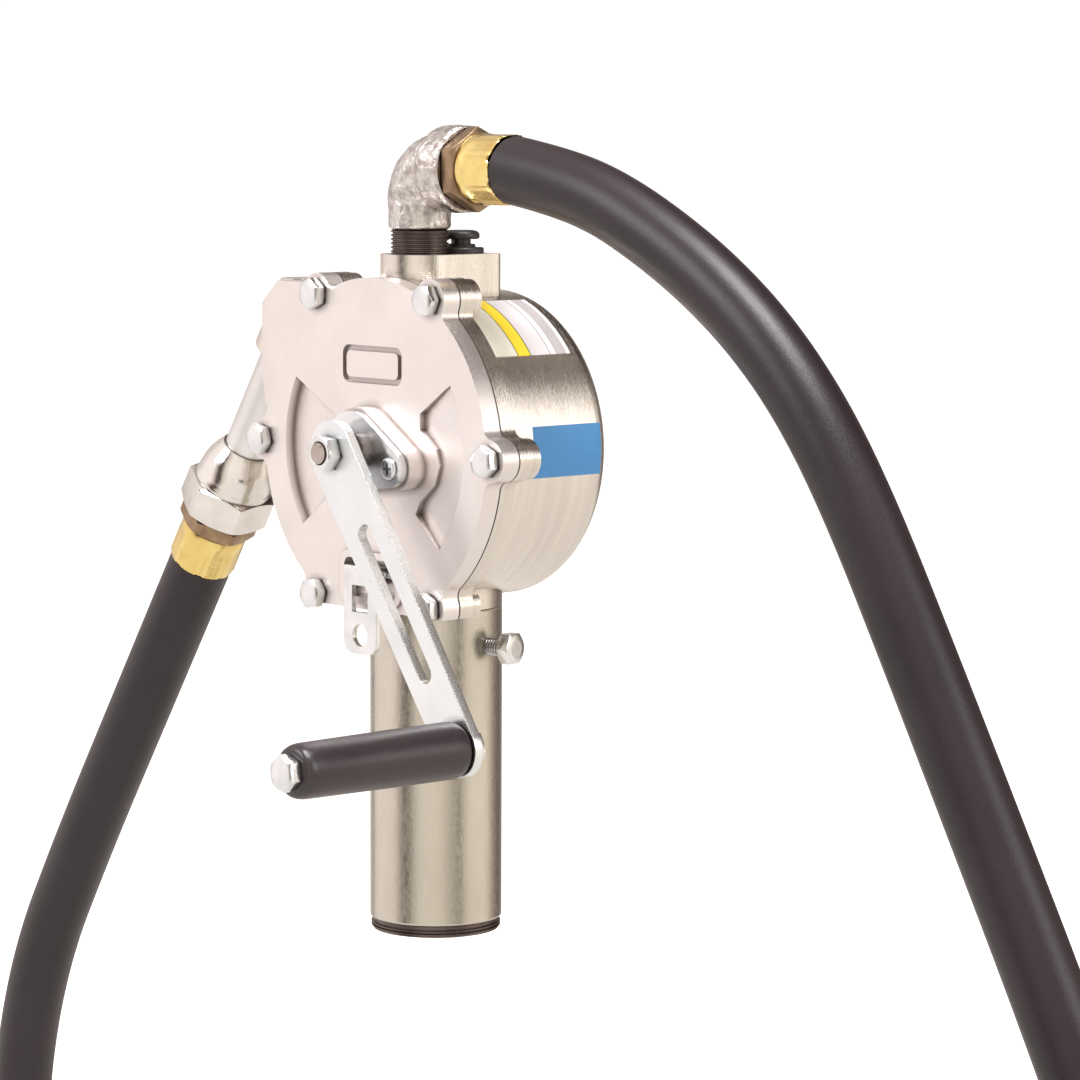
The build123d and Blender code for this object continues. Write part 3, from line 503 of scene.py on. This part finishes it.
# Outlet elbow: a street elbow, cast in malleable iron and hot galvanised, rough outside,
# with a cut male thread in the housing and a threaded mouth for the hose's nipple.
rough_iron = skinned("galvanised_iron", 1.0, (0.76, 0.725, 0.70), (0.42, 0.37, 0.35),
                     (0.22, 0.44), relief=0.8, blotch_scale=230.0, grain_scale=520.0,
                     corner_shade=(0.08, 0.055, 0.05), corner_shade_amount=0.95)
bpy.ops.object.select_all(action="DESELECT")
bend_radius, bend_foot = 0.0165, 0.331
mouth_height = bend_foot + bend_radius
pipe_pitch = 0.00181
leg = [(0.0120, 0.2955)] + thread_rings(0.0122, 0.01315, 0.3090, 0.3199, pipe_pitch) + [
    (0.0126, 0.3201), (0.0138, 0.3210), (0.0141, 0.3220), (0.0141, 0.3245), (0.0142, 0.3275),
    (0.0144, bend_foot)]
bpy.ops.mesh.primitive_circle_add(vertices=64, radius=leg[0][0],
                                  location=(0, outlet_y, leg[0][1]))
elbow = bpy.context.object
elbow.name = "street_elbow"
bpy.ops.object.transform_apply(location=True, rotation=True, scale=True)
bpy.ops.object.mode_set(mode="EDIT")
bpy.ops.mesh.select_all(action="SELECT")
for (r0, z0), (r1, z1) in zip(leg, leg[1:]):
    bpy.ops.mesh.extrude_region_move(TRANSFORM_OT_translate={"value": (0, 0, z1 - z0)})
    bpy.ops.transform.resize(value=(r1 / r0, r1 / r0, 1), center_override=(0, outlet_y, z1))
bend_steps = 12
bend_swell = 1.0095
ring = leg[-1][0]
for step in range(1, bend_steps + 1):
    bpy.ops.mesh.extrude_region_move(TRANSFORM_OT_translate={"value": (0, 0, 0)})
    bpy.ops.transform.rotate(value=-radians(90 / bend_steps), orient_axis="Y",
                             center_override=(bend_radius, outlet_y, bend_foot))
    turned_by = radians(90 / bend_steps * step)
    middle = (bend_radius - bend_radius * cos(turned_by), outlet_y,
              bend_foot + bend_radius * sin(turned_by))
    bpy.ops.transform.resize(value=(bend_swell, bend_swell, bend_swell), center_override=middle)
    ring *= bend_swell
collar = [
    (ring, bend_radius), (0.0172, 0.0172), (0.0186, 0.0182), (0.0192, 0.0196),
    (0.01935, 0.0215), (0.01935, 0.0265), (0.01935, 0.0318), (0.0190, 0.0327),
    (0.0184, 0.0333), (0.0150, 0.0333), (0.0142, 0.0326), (0.0131, 0.0312),
    (0.0127, 0.0295), (0.0127, 0.0200), (0.0095, 0.0195), (0.0095, 0.0170)]
for (r0, x0), (r1, x1) in zip(collar, collar[1:]):
    bpy.ops.mesh.extrude_region_move(TRANSFORM_OT_translate={"value": (x1 - x0, 0, 0)})
    bpy.ops.transform.resize(value=(1, r1 / r0, r1 / r0),
                             center_override=(x1, outlet_y, mouth_height))
bpy.ops.mesh.select_all(action="SELECT")
bpy.ops.mesh.fill_holes(sides=0)
bpy.ops.mesh.select_all(action="SELECT")
bpy.ops.mesh.normals_make_consistent(inside=False)
bpy.ops.object.mode_set(mode="OBJECT")
cast_part = elbow.vertex_groups.new(name="cast_part")
for corner in elbow.data.vertices:
    off_axis = Vector((corner.co.y - outlet_y, corner.co.z - mouth_height)).length
    outside = off_axis > 0.0150 or corner.co.x < bend_radius
    if corner.co.z > 0.3215 and corner.co.x < 0.0331 and outside:
        cast_part.add([corner.index], 1.0, "REPLACE")
finer = elbow.modifiers.new("finer", "SUBSURF")
finer.levels = finer.render_levels = 2
finer.subdivision_type = "SIMPLE"
sand = bpy.data.textures.new("sand_mould", "CLOUDS")
sand.noise_scale = 0.0030
sand.noise_depth = 3
mould = elbow.modifiers.new("mould", "DISPLACE")
mould.texture = sand
mould.texture_coords = "LOCAL"
mould.strength = 0.0011
mould.mid_level = 0.5
mould.vertex_group = "cast_part"
for modifier in ("finer", "mould"):
    bpy.ops.object.modifier_apply(modifier=modifier)
bpy.ops.object.shade_smooth_by_angle(angle=radians(40))
elbow.data.materials.append(rough_iron)
elbow.data.materials.append(cut_thread)
for face in elbow.data.polygons:
    in_thread = face.center.z < 0.3203
    off_axis = Vector((face.center.y - outlet_y, face.center.z - mouth_height)).length
    in_mouth = face.center.x > 0.0168 and off_axis < 0.0143
    face.material_index = 1 if in_thread or in_mouth else 0
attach(elbow, "pump")
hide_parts("outlet_elbow")


# Vacuum breaker: a moulded black button that a light spring holds up in its screwed base.
# Pressed down, it lets air into the hose. Both pieces are glass-filled nylon.
breaker_place = (0, 0.0145, 0)
black_plastic = skinned("black_plastic", 0.0, (0.020, 0.017, 0.018), (0.014, 0.012, 0.013),
                        (0.34, 0.5), relief=0.25, blotch_scale=120.0, corner_shade_amount=0.2)
breaker_base = turned("breaker_seat", [
    (0.0052, 0.3000), (0.0058, 0.3004), (0.0059, 0.3088), (0.0103, 0.3090), (0.0105, 0.3093),
    (0.0105, 0.3110), (0.0101, 0.3115), (0.0070, 0.3116), (0.0066, 0.3119), (0.0066, 0.3127),
    (0.0063, 0.3130), (0.0048, 0.3130), (0.0047, 0.3128), (0.0047, 0.3032), (0.0030, 0.3030),
    (0.0030, 0.3000), (0.0052, 0.3000)], around=64, material=black_plastic)
set_down(breaker_base, breaker_place)
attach(breaker_base, "pump")
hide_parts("breaker_base")
breaker_cap = turned("breaker_button", [
    (0.0020, 0.3001), (0.0024, 0.3004), (0.0024, 0.3176), (0.0042, 0.3176), (0.0042, 0.3124),
    (0.0045, 0.3124), (0.0045, 0.3152), (0.0050, 0.3154), (0.0078, 0.3153),
    (0.0084, 0.3157), (0.0086, 0.3165), (0.0085, 0.3175), (0.0080, 0.3184), (0.0070, 0.3190),
    (0.0055, 0.3193), (0.0046, 0.3193), (0.0043, 0.3189), (0.0038, 0.3189), (0.0035, 0.3193),
    (0.0015, 0.3194)], around=64, material=black_plastic)
set_down(breaker_cap, breaker_place)
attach(breaker_cap, "breaker")
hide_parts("breaker_cap")


# Hose nipples: brass bar stock, a barbed tail inside the hose, a hexagon for the wrench
# and a pipe thread. Handling has browned them. One is made for each end of the hose.
hex_brass = skinned("hex_brass", 1.0, (0.40, 0.275, 0.165), (0.25, 0.165, 0.105), (0.28, 0.42),
                    relief=0.2, blotch_scale=110.0, corner_shade=(0.06, 0.04, 0.03))
spout_turn = (0, 32.5, 0)
outlet_turn = (0, -90, 0)


def hose_nipple(name):
    """A nipple from its tail at the hose's end, on Z."""
    bar = hexagon_bar(name + "_hexagon", 0.033, 0.0216, 0.0298, bore=0.0074, material=hex_brass)
    tail = turned(name + "_tail", [
        (0.0074, 0.0012), (0.0090, 0.0012), (0.0096, 0.0050), (0.0090, 0.0055), (0.0096, 0.0110),
        (0.0090, 0.0115), (0.0096, 0.0170), (0.0096, 0.0212), (0.0150, 0.0213), (0.0152, 0.0218),
        (0.0074, 0.0219), (0.0074, 0.0012)], around=48, material=hex_brass)
    thread = turned(name + "_thread", [(0.0074, 0.0296), (0.0120, 0.0296)]
                    + thread_rings(0.0116, 0.0125, 0.0298, 0.0424, pipe_pitch)
                    + [(0.0112, 0.0428), (0.0074, 0.0428), (0.0074, 0.0296)],
                    around=64, material=hex_brass)
    return joined(name, [bar, tail, thread])


# Ferrules: thin drawn brass sleeves, crimped over the hose's ends in eight bites that
# leave a sharp ridge between each pair and a wavy lip where the hose comes out.
ferrule_brass = skinned("ferrule_brass", 1.0, (0.91, 0.72, 0.30), (0.80, 0.58, 0.20),
                        (0.12, 0.24), relief=0.10, blotch_scale=60.0, corner_shade=(0.22, 0.12, 0.04),
                        corner_shade_amount=0.8)
ferrule_sides = 96
crimp_share = ferrule_sides // 8


def crimped_ferrule(name):
    """A ferrule on Z from its lip, its crimps pressed into the turned sleeve."""
    sleeve = turned(name, [
        (0.01525, 0.0), (0.01560, 0.0003), (0.01572, 0.0010), (0.01572, 0.0030),
        (0.01572, 0.0060), (0.01572, 0.0090), (0.01572, 0.0120), (0.01572, 0.0150),
        (0.01585, 0.0165), (0.01605, 0.0178), (0.01605, 0.0205), (0.01590, 0.0212),
        (0.01530, 0.0214), (0.01500, 0.0213), (0.01500, 0.0004), (0.01525, 0.0)],
        around=ferrule_sides, material=ferrule_brass)
    shares = [round(atan2(v.co.y, v.co.x) / (2 * pi) * ferrule_sides) % crimp_share
              for v in sleeve.data.vertices]
    bpy.ops.object.mode_set(mode="EDIT")
    for chosen, swell in (((0,), 1.030), ((1, 11), 1.006), ((4, 5, 6, 7, 8), 0.984),
                          ((5, 6, 7), 0.994)):
        bpy.ops.mesh.select_all(action="DESELECT")
        bpy.ops.object.mode_set(mode="OBJECT")
        for v in sleeve.data.vertices:
            v.select = (shares[v.index] in chosen and 0.0002 < v.co.z < 0.0155
                        and v.co.xy.length > 0.0153)
        bpy.ops.object.mode_set(mode="EDIT")
        bpy.ops.transform.resize(value=(swell, swell, 1), center_override=(0, 0, 0))
    bpy.ops.mesh.select_all(action="DESELECT")
    bpy.ops.object.mode_set(mode="OBJECT")
    for v in sleeve.data.vertices:
        v.select = shares[v.index] in (0, 1, 11) and v.co.z < 0.0005
    bpy.ops.object.mode_set(mode="EDIT")
    bpy.ops.transform.translate(value=(0, 0, 0.0007))
    bpy.ops.object.mode_set(mode="OBJECT")
    bpy.ops.object.shade_smooth_by_angle(angle=radians(28))
    return sleeve


outlet_nipple = set_down(hose_nipple("outlet_nipple"), (0, 0, 0), (0, 0, 28))
set_down(outlet_nipple, hose_start, outlet_turn)
outlet_ferrule = set_down(crimped_ferrule("outlet_ferrule"), (0, 0, 0), (0, 0, 20))
set_down(outlet_ferrule, hose_start, outlet_turn)
spout_nipple = set_down(hose_nipple("spout_nipple"), (0, 0, 0), (0, 0, 18))
set_down(spout_nipple, hose_end, spout_turn)
spout_ferrule = set_down(crimped_ferrule("spout_ferrule"), (0, 0, 0), (0, 0, 5))
set_down(spout_ferrule, hose_end, spout_turn)
for piece, node, slot in (
        (outlet_nipple, "hose_nipple_outlet", "hex_brass"),
        (outlet_ferrule, "hose_ferrule_outlet", "ferrule_brass"),
        (spout_nipple, "hose_nipple_spout", "hex_brass"),
        (spout_ferrule, "hose_ferrule_spout", "ferrule_brass")):
    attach(piece, "pump")
    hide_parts(node)


# Spout: a straight aluminium tube screwed into a plated coupling with a hexagon at its
# foot and a domed shoulder. Parked, its tip stands in the cup behind the cover's ear.
plated = skinned("plated_steel", 1.0, (0.84, 0.80, 0.77), (0.72, 0.68, 0.65), (0.08, 0.18),
                 relief=0.06, blotch_scale=50.0, corner_shade=(0.07, 0.05, 0.05), corner_shade_amount=0.8)
spout_metal = skinned("spout_aluminium", 1.0, (0.84, 0.82, 0.81), (0.75, 0.73, 0.72),
                      (0.28, 0.4))
coupling = joined("spout_coupling_nut", [
    hexagon_bar("coupling_hexagon", 0.0385, 0.0300, 0.0470, bore=0.0127, material=plated),
    turned("coupling_shoulder", [
        (0.0127, 0.0466), (0.0186, 0.0466), (0.0189, 0.0474), (0.0189, 0.0492), (0.0186, 0.0497),
        (0.0184, 0.0520), (0.0178, 0.0560), (0.0166, 0.0600), (0.0150, 0.0635), (0.0135, 0.0660),
        (0.0127, 0.0675), (0.0120, 0.0683), (0.0112, 0.0684), (0.0112, 0.0470), (0.0127, 0.0466)],
        around=96, material=plated)])
set_down(coupling, (0, 0, 0), (0, 0, 9))
set_down(coupling, hose_end, spout_turn)
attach(coupling, "pump")
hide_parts("spout_coupling")
spout = nodes["spout_tube"]
spout.data.materials.clear()
spout.data.materials.append(spout_metal)


# Label: a printed film on the drum's shoulder, left without words, in plain cream,
# yellow and grey panels with a thin dark frame round each.
label_film, label_tree, label_shader = new_material("label_film")
label_place = label_tree.nodes.new("ShaderNodeTexCoord")
label_split = label_tree.nodes.new("ShaderNodeSeparateXYZ")
label_front, label_back = -0.014, 0.032
label_share = add_node(label_tree, "ShaderNodeMapRange", From_Min=label_front,
                       From_Max=label_back)
label_panels = label_tree.nodes.new("ShaderNodeValToRGB")
label_panels.color_ramp.interpolation = "CONSTANT"
cream, yellow, ink = (0.82, 0.78, 0.68), (0.86, 0.66, 0.04), (0.04, 0.035, 0.035)
lilac, grey = (0.62, 0.585, 0.60), (0.36, 0.33, 0.34)


def set_ramp(ramp, stops):
    """Colour stops of a ramp, as (position, colour)."""
    ramp = ramp.color_ramp
    while len(ramp.elements) > 1:
        ramp.elements.remove(ramp.elements[-1])
    ramp.elements[0].position = stops[0][0]
    ramp.elements[0].color = (*stops[0][1], 1)
    for position, colour in stops[1:]:
        ramp.elements.new(position).color = (*colour, 1)


set_ramp(label_panels, [
    (0.0, ink), (0.012, cream), (0.30, ink), (0.312, yellow), (0.462, ink), (0.474, lilac),
    (0.72, ink), (0.727, lilac), (0.80, grey), (0.94, lilac), (0.985, ink)])
label_tone = add_node(label_tree, "ShaderNodeTexNoise", Scale=60.0, Detail=3.0)
label_age = add_node(label_tree, "ShaderNodeMapRange", From_Min=0.3, From_Max=0.7,
                     To_Min=0.9, To_Max=1.05)
label_mix = label_tree.nodes.new("ShaderNodeMix")
label_mix.data_type = "RGBA"
label_mix.blend_type = "MULTIPLY"
label_mix.inputs["Factor"].default_value = 1
label_gloss = add_node(label_tree, "ShaderNodeMapRange", From_Min=0.3, From_Max=0.7,
                       To_Min=0.3, To_Max=0.42)
link = label_tree.links.new
link(label_place.outputs["Object"], label_split.inputs[0])
link(label_split.outputs["Y"], label_share.inputs["Value"])
link(label_share.outputs[0], label_panels.inputs[0])
link(label_place.outputs["Object"], label_tone.inputs["Vector"])
link(label_tone.outputs[0], label_age.inputs["Value"])
link(label_panels.outputs[0], label_mix.inputs["A"])
link(label_age.outputs[0], label_mix.inputs["B"])
link(label_mix.outputs["Result"], label_shader.inputs["Base Color"])
link(label_tone.outputs[0], label_gloss.inputs["Value"])
link(label_gloss.outputs[0], label_shader.inputs["Roughness"])
nodes["drum_sticker"].data.materials.clear()
nodes["drum_sticker"].data.materials.append(label_film)


# Lock hasp: a zinc-plated steel tab folded round a pin in the cover's pocket. A padlock
# goes through its hole and the crank's slot, and stops the pump.
hasp = eased("lock_hasp", "hasp_tab", 0.0005)
hasp.data.materials.clear()
hasp.data.materials.append(zinc)
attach(hasp, "hasp")
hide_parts("lock_hasp")


# Crank arm: blanked from 5 mm steel strip with a long slot, zinc plated, its edges rolled
# a little in the press. The shaft's flats drive it and a hexagon nut holds it.
arm_zinc = skinned("arm_zinc", 1.0, (0.87, 0.89, 0.90), (0.78, 0.81, 0.84), (0.22, 0.34),
                   relief=0.05, blotch_scale=30.0, grain_scale=2000.0,
                   corner_shade=(0.08, 0.07, 0.07), corner_shade_amount=0.6)
arm = eased("crank_arm", "crank_strip", 0.0006)
arm.data.materials.clear()
arm.data.materials.append(arm_zinc)
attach(arm, "crank")
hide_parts("crank_arm")
arm_face_y = -0.0624
crank_nut = hexagon_bar("shaft_nut", 0.0145, 0.0, 0.0064, bore=0.00485, material=zinc)
set_down(crank_nut, (0, 0, 0), (0, 0, 20))
set_down(crank_nut, (0, arm_face_y, shaft_height), (90, 0, 0))
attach(crank_nut, "crank")
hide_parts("crank_nut")


# Handle: a long hexagon bolt through the arm, with a nut behind it, on which a moulded
# black grip turns freely. The grip tapers slightly to its rounded outer end.
handle_place = (0.08604, 0, 0.09913)
handle_bolt = joined("grip_bolt", [
    hexagon_bar("grip_bolt_head", 0.014, 0.1537, 0.1596, crown=0.0005, material=zinc),
    turned("grip_bolt_shank", [
        (0.0042, 0.0500), (0.0047, 0.0504), (0.0047, 0.1530), (0.0066, 0.1531),
        (0.0066, 0.1539), (0.0030, 0.1540)], around=40, material=zinc)])
set_down(handle_bolt, (0, 0, 0), (0, 0, 10))
set_down(handle_bolt, handle_place, (90, 0, 0))
handle_nut = hexagon_bar("grip_nut", 0.0145, 0.0520, 0.0576, bore=0.00475, material=zinc)
set_down(handle_nut, (0, 0, 0), (0, 0, 25))
set_down(handle_nut, handle_place, (90, 0, 0))
for piece, node in ((handle_bolt, "handle_bolt"), (handle_nut, "handle_nut")):
    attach(piece, "crank")
    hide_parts(node)
grip_plastic = skinned("grip_plastic", 0.0, (0.030, 0.021, 0.024), (0.022, 0.015, 0.018),
                       (0.27, 0.38), relief=0.12, stretch=(1, 0.2, 1), blotch_scale=60.0,
                       grain_scale=1200.0, corner_shade_amount=0.2)
grip = turned("handle_sleeve", [
    (0.0049, 0.0627), (0.0096, 0.0627), (0.0112, 0.0632), (0.0120, 0.0642), (0.0125, 0.0660),
    (0.01255, 0.0690), (0.0125, 0.0800), (0.0124, 0.1000), (0.0122, 0.1200), (0.0120, 0.1400),
    (0.0119, 0.1480), (0.0116, 0.1503), (0.0110, 0.1520), (0.0100, 0.1530), (0.0088, 0.1533),
    (0.0049, 0.1533), (0.0049, 0.0627)], around=96, material=grip_plastic)
set_down(grip, handle_place, (90, 0, 0))
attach(grip, "handle")
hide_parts("handle_grip")


# Inside pieces and small hardware keep their shape: gasket, bushes, packing, strainer,
# springs, shaft, key, rotor and vanes, each in its own metal, fibre, rubber or carbon.
gasket_fibre = skinned("gasket_fibre", 0.0, (0.045, 0.036, 0.034), (0.03, 0.025, 0.024),
                       (0.6, 0.8))
bronze = skinned("bush_bronze", 1.0, (0.60, 0.40, 0.20), (0.50, 0.33, 0.17), (0.25, 0.4))
nitrile = skinned("nitrile_rubber", 0.0, (0.03, 0.03, 0.032), (0.02, 0.02, 0.022), (0.45, 0.6))
stainless = skinned("stainless_mesh", 1.0, (0.62, 0.62, 0.61), (0.5, 0.5, 0.5), (0.25, 0.4))
spring_steel = skinned("spring_steel", 1.0, (0.52, 0.51, 0.50), (0.42, 0.41, 0.40), (0.2, 0.35))
shaft_steel = skinned("shaft_steel", 1.0, (0.56, 0.50, 0.465), (0.44, 0.375, 0.34), (0.16, 0.3),
                      relief=0.08, blotch_scale=60.0)
rotor_metal = skinned("rotor_aluminium", 1.0, (0.72, 0.71, 0.70), (0.62, 0.61, 0.60), (0.25, 0.4))
vane_carbon = skinned("vane_carbon", 0.0, (0.04, 0.04, 0.042), (0.03, 0.03, 0.03),
                      (0.4, 0.55))
for node, material in (
        ("cover_gasket", gasket_fibre), ("front_bush", bronze), ("rear_bush", bronze),
        ("shaft_packing", nitrile), ("inlet_strainer", stainless),
        ("breaker_spring", spring_steel), ("vane_springs", spring_steel),
        ("shaft", shaft_steel), ("rotor_key", shaft_steel), ("hasp_pin", zinc),
        ("rotor", rotor_metal), ("vanes", vane_carbon)):
    nodes[node].data.materials.clear()
    nodes[node].data.materials.append(material)


# Studio: a plain pale floor under the loop of hose and soft lights. The surround is pale
# with dark gaps for the metal to mirror, and white where the camera looks at it.
bpy.ops.object.select_all(action="DESELECT")
bpy.ops.mesh.primitive_plane_add(size=60, location=(0, 0, cad_low.z - 0.004))
floor = bpy.context.object
floor.name = "floor"
floor_paint, _, floor_shader = new_material("floor_paint")
floor_shader.inputs["Base Color"].default_value = (0.93, 0.925, 0.92, 1)
floor_shader.inputs["Roughness"].default_value = 0.9
floor_shader.inputs["Emission Color"].default_value = (0.97, 0.985, 1.0, 1)
floor_shader.inputs["Emission Strength"].default_value = 0.6
floor.visible_glossy = False
floor.data.materials.append(floor_paint)

world = bpy.data.worlds.new("studio")
bpy.context.scene.world = world
world.use_nodes = True
sky = world.node_tree
sky.nodes.clear()
towards = sky.nodes.new("ShaderNodeTexCoord")
split = sky.nodes.new("ShaderNodeSeparateXYZ")
round_about = sky.nodes.new("ShaderNodeMath")
round_about.operation = "ARCTAN2"
turn_share = add_node(sky, "ShaderNodeMapRange", From_Min=-pi, From_Max=pi)
walls = sky.nodes.new("ShaderNodeValToRGB")
height_share = add_node(sky, "ShaderNodeMapRange", From_Min=-1.0, From_Max=1.0)
ceiling = sky.nodes.new("ShaderNodeValToRGB")
room = sky.nodes.new("ShaderNodeMix")
room.data_type = "RGBA"
room.blend_type = "MULTIPLY"
room.inputs["Factor"].default_value = 1
seen = sky.nodes.new("ShaderNodeLightPath")
backdrop = sky.nodes.new("ShaderNodeMix")
backdrop.data_type = "RGBA"
glow = sky.nodes.new("ShaderNodeBackground")
out = sky.nodes.new("ShaderNodeOutputWorld")

set_ramp(walls, [
    (0.00, (0.80, 0.74, 0.72)), (0.06, (1.05, 0.99, 0.97)), (0.175, (1.08, 1.02, 1.0)),
    (0.205, (0.55, 0.47, 0.44)), (0.222, (0.10, 0.075, 0.07)), (0.252, (0.09, 0.07, 0.065)),
    (0.275, (0.72, 0.67, 0.60)), (0.32, (1.05, 1.0, 0.94)), (0.41, (1.0, 0.95, 0.87)),
    (0.47, (0.52, 0.47, 0.41)), (0.50, (0.48, 0.43, 0.38)), (0.56, (1.0, 0.94, 0.84)),
    (0.66, (1.05, 0.97, 0.86)), (0.72, (0.30, 0.25, 0.23)), (0.78, (0.12, 0.10, 0.09)),
    (0.86, (0.5, 0.45, 0.43)), (1.00, (0.80, 0.74, 0.72))])
set_ramp(ceiling, [
    (0.00, (0.85, 0.82, 0.79)), (0.30, (0.95, 0.92, 0.89)), (0.47, (1.0, 0.98, 0.96)),
    (0.62, (0.95, 0.93, 0.91)), (0.72, (0.22, 0.185, 0.17)), (0.82, (0.14, 0.115, 0.11)),
    (0.90, (0.5, 0.47, 0.46)), (0.95, (1.5, 1.48, 1.46)), (1.0, (1.6, 1.6, 1.6))])
low_share = add_node(sky, "ShaderNodeMapRange", From_Min=-0.22, From_Max=-0.42)
behind = sky.nodes.new("ShaderNodeValToRGB")
set_ramp(behind, [
    (0.0, (0, 0, 0)), (0.52, (0, 0, 0)), (0.58, (1, 1, 1)), (0.86, (1, 1, 1)),
    (0.93, (0, 0, 0))])
under = sky.nodes.new("ShaderNodeMix")
under.data_type = "RGBA"
under.inputs["B"].default_value = (1.0, 0.965, 0.92, 1)
over = sky.nodes.new("ShaderNodeMix")
over.data_type = "RGBA"
over.inputs["A"].default_value = (1.0, 0.98, 0.96, 1)
link = sky.links.new
link(split.outputs["Z"], low_share.inputs["Value"])
link(turn_share.outputs[0], behind.inputs[0])
link(low_share.outputs[0], under.inputs["Factor"])
link(walls.outputs[0], under.inputs["A"])
link(behind.outputs[0], over.inputs["Factor"])
link(ceiling.outputs[0], over.inputs["B"])
link(towards.outputs["Generated"], split.inputs[0])
link(split.outputs["Y"], round_about.inputs[0])
link(split.outputs["X"], round_about.inputs[1])
link(round_about.outputs[0], turn_share.inputs["Value"])
link(turn_share.outputs[0], walls.inputs[0])
link(split.outputs["Z"], height_share.inputs["Value"])
link(height_share.outputs[0], ceiling.inputs[0])
link(under.outputs["Result"], room.inputs["A"])
link(over.outputs["Result"], room.inputs["B"])
link(seen.outputs["Is Camera Ray"], backdrop.inputs["Factor"])
link(room.outputs["Result"], backdrop.inputs["A"])
backdrop.inputs["B"].default_value = (1.0, 1.0, 1.0, 1)
link(backdrop.outputs["Result"], glow.inputs["Color"])
glow.inputs["Strength"].default_value = 1.05
link(glow.outputs[0], out.inputs[0])
bpy.context.scene.view_settings.view_transform = "Standard"
aim = Vector((0, 0, 0.2))
for name, place, size, power in (
        ("key", (-0.9, -2.2, 1.9), 1.3, 40), ("fill", (2.4, 0.9, 1.2), 1.5, 25),
        ("top", (0.5, -0.1, 2.3), 0.9, 62)):
    lamp_data = bpy.data.lights.new(name, "AREA")
    lamp_data.size = size
    lamp_data.energy = power
    lamp = bpy.data.objects.new(name, lamp_data)
    lamp.location = place
    lamp.rotation_mode = "QUATERNION"
    lamp.rotation_quaternion = (aim - Vector(place)).to_track_quat("-Z", "Y")
    bpy.context.collection.objects.link(lamp)
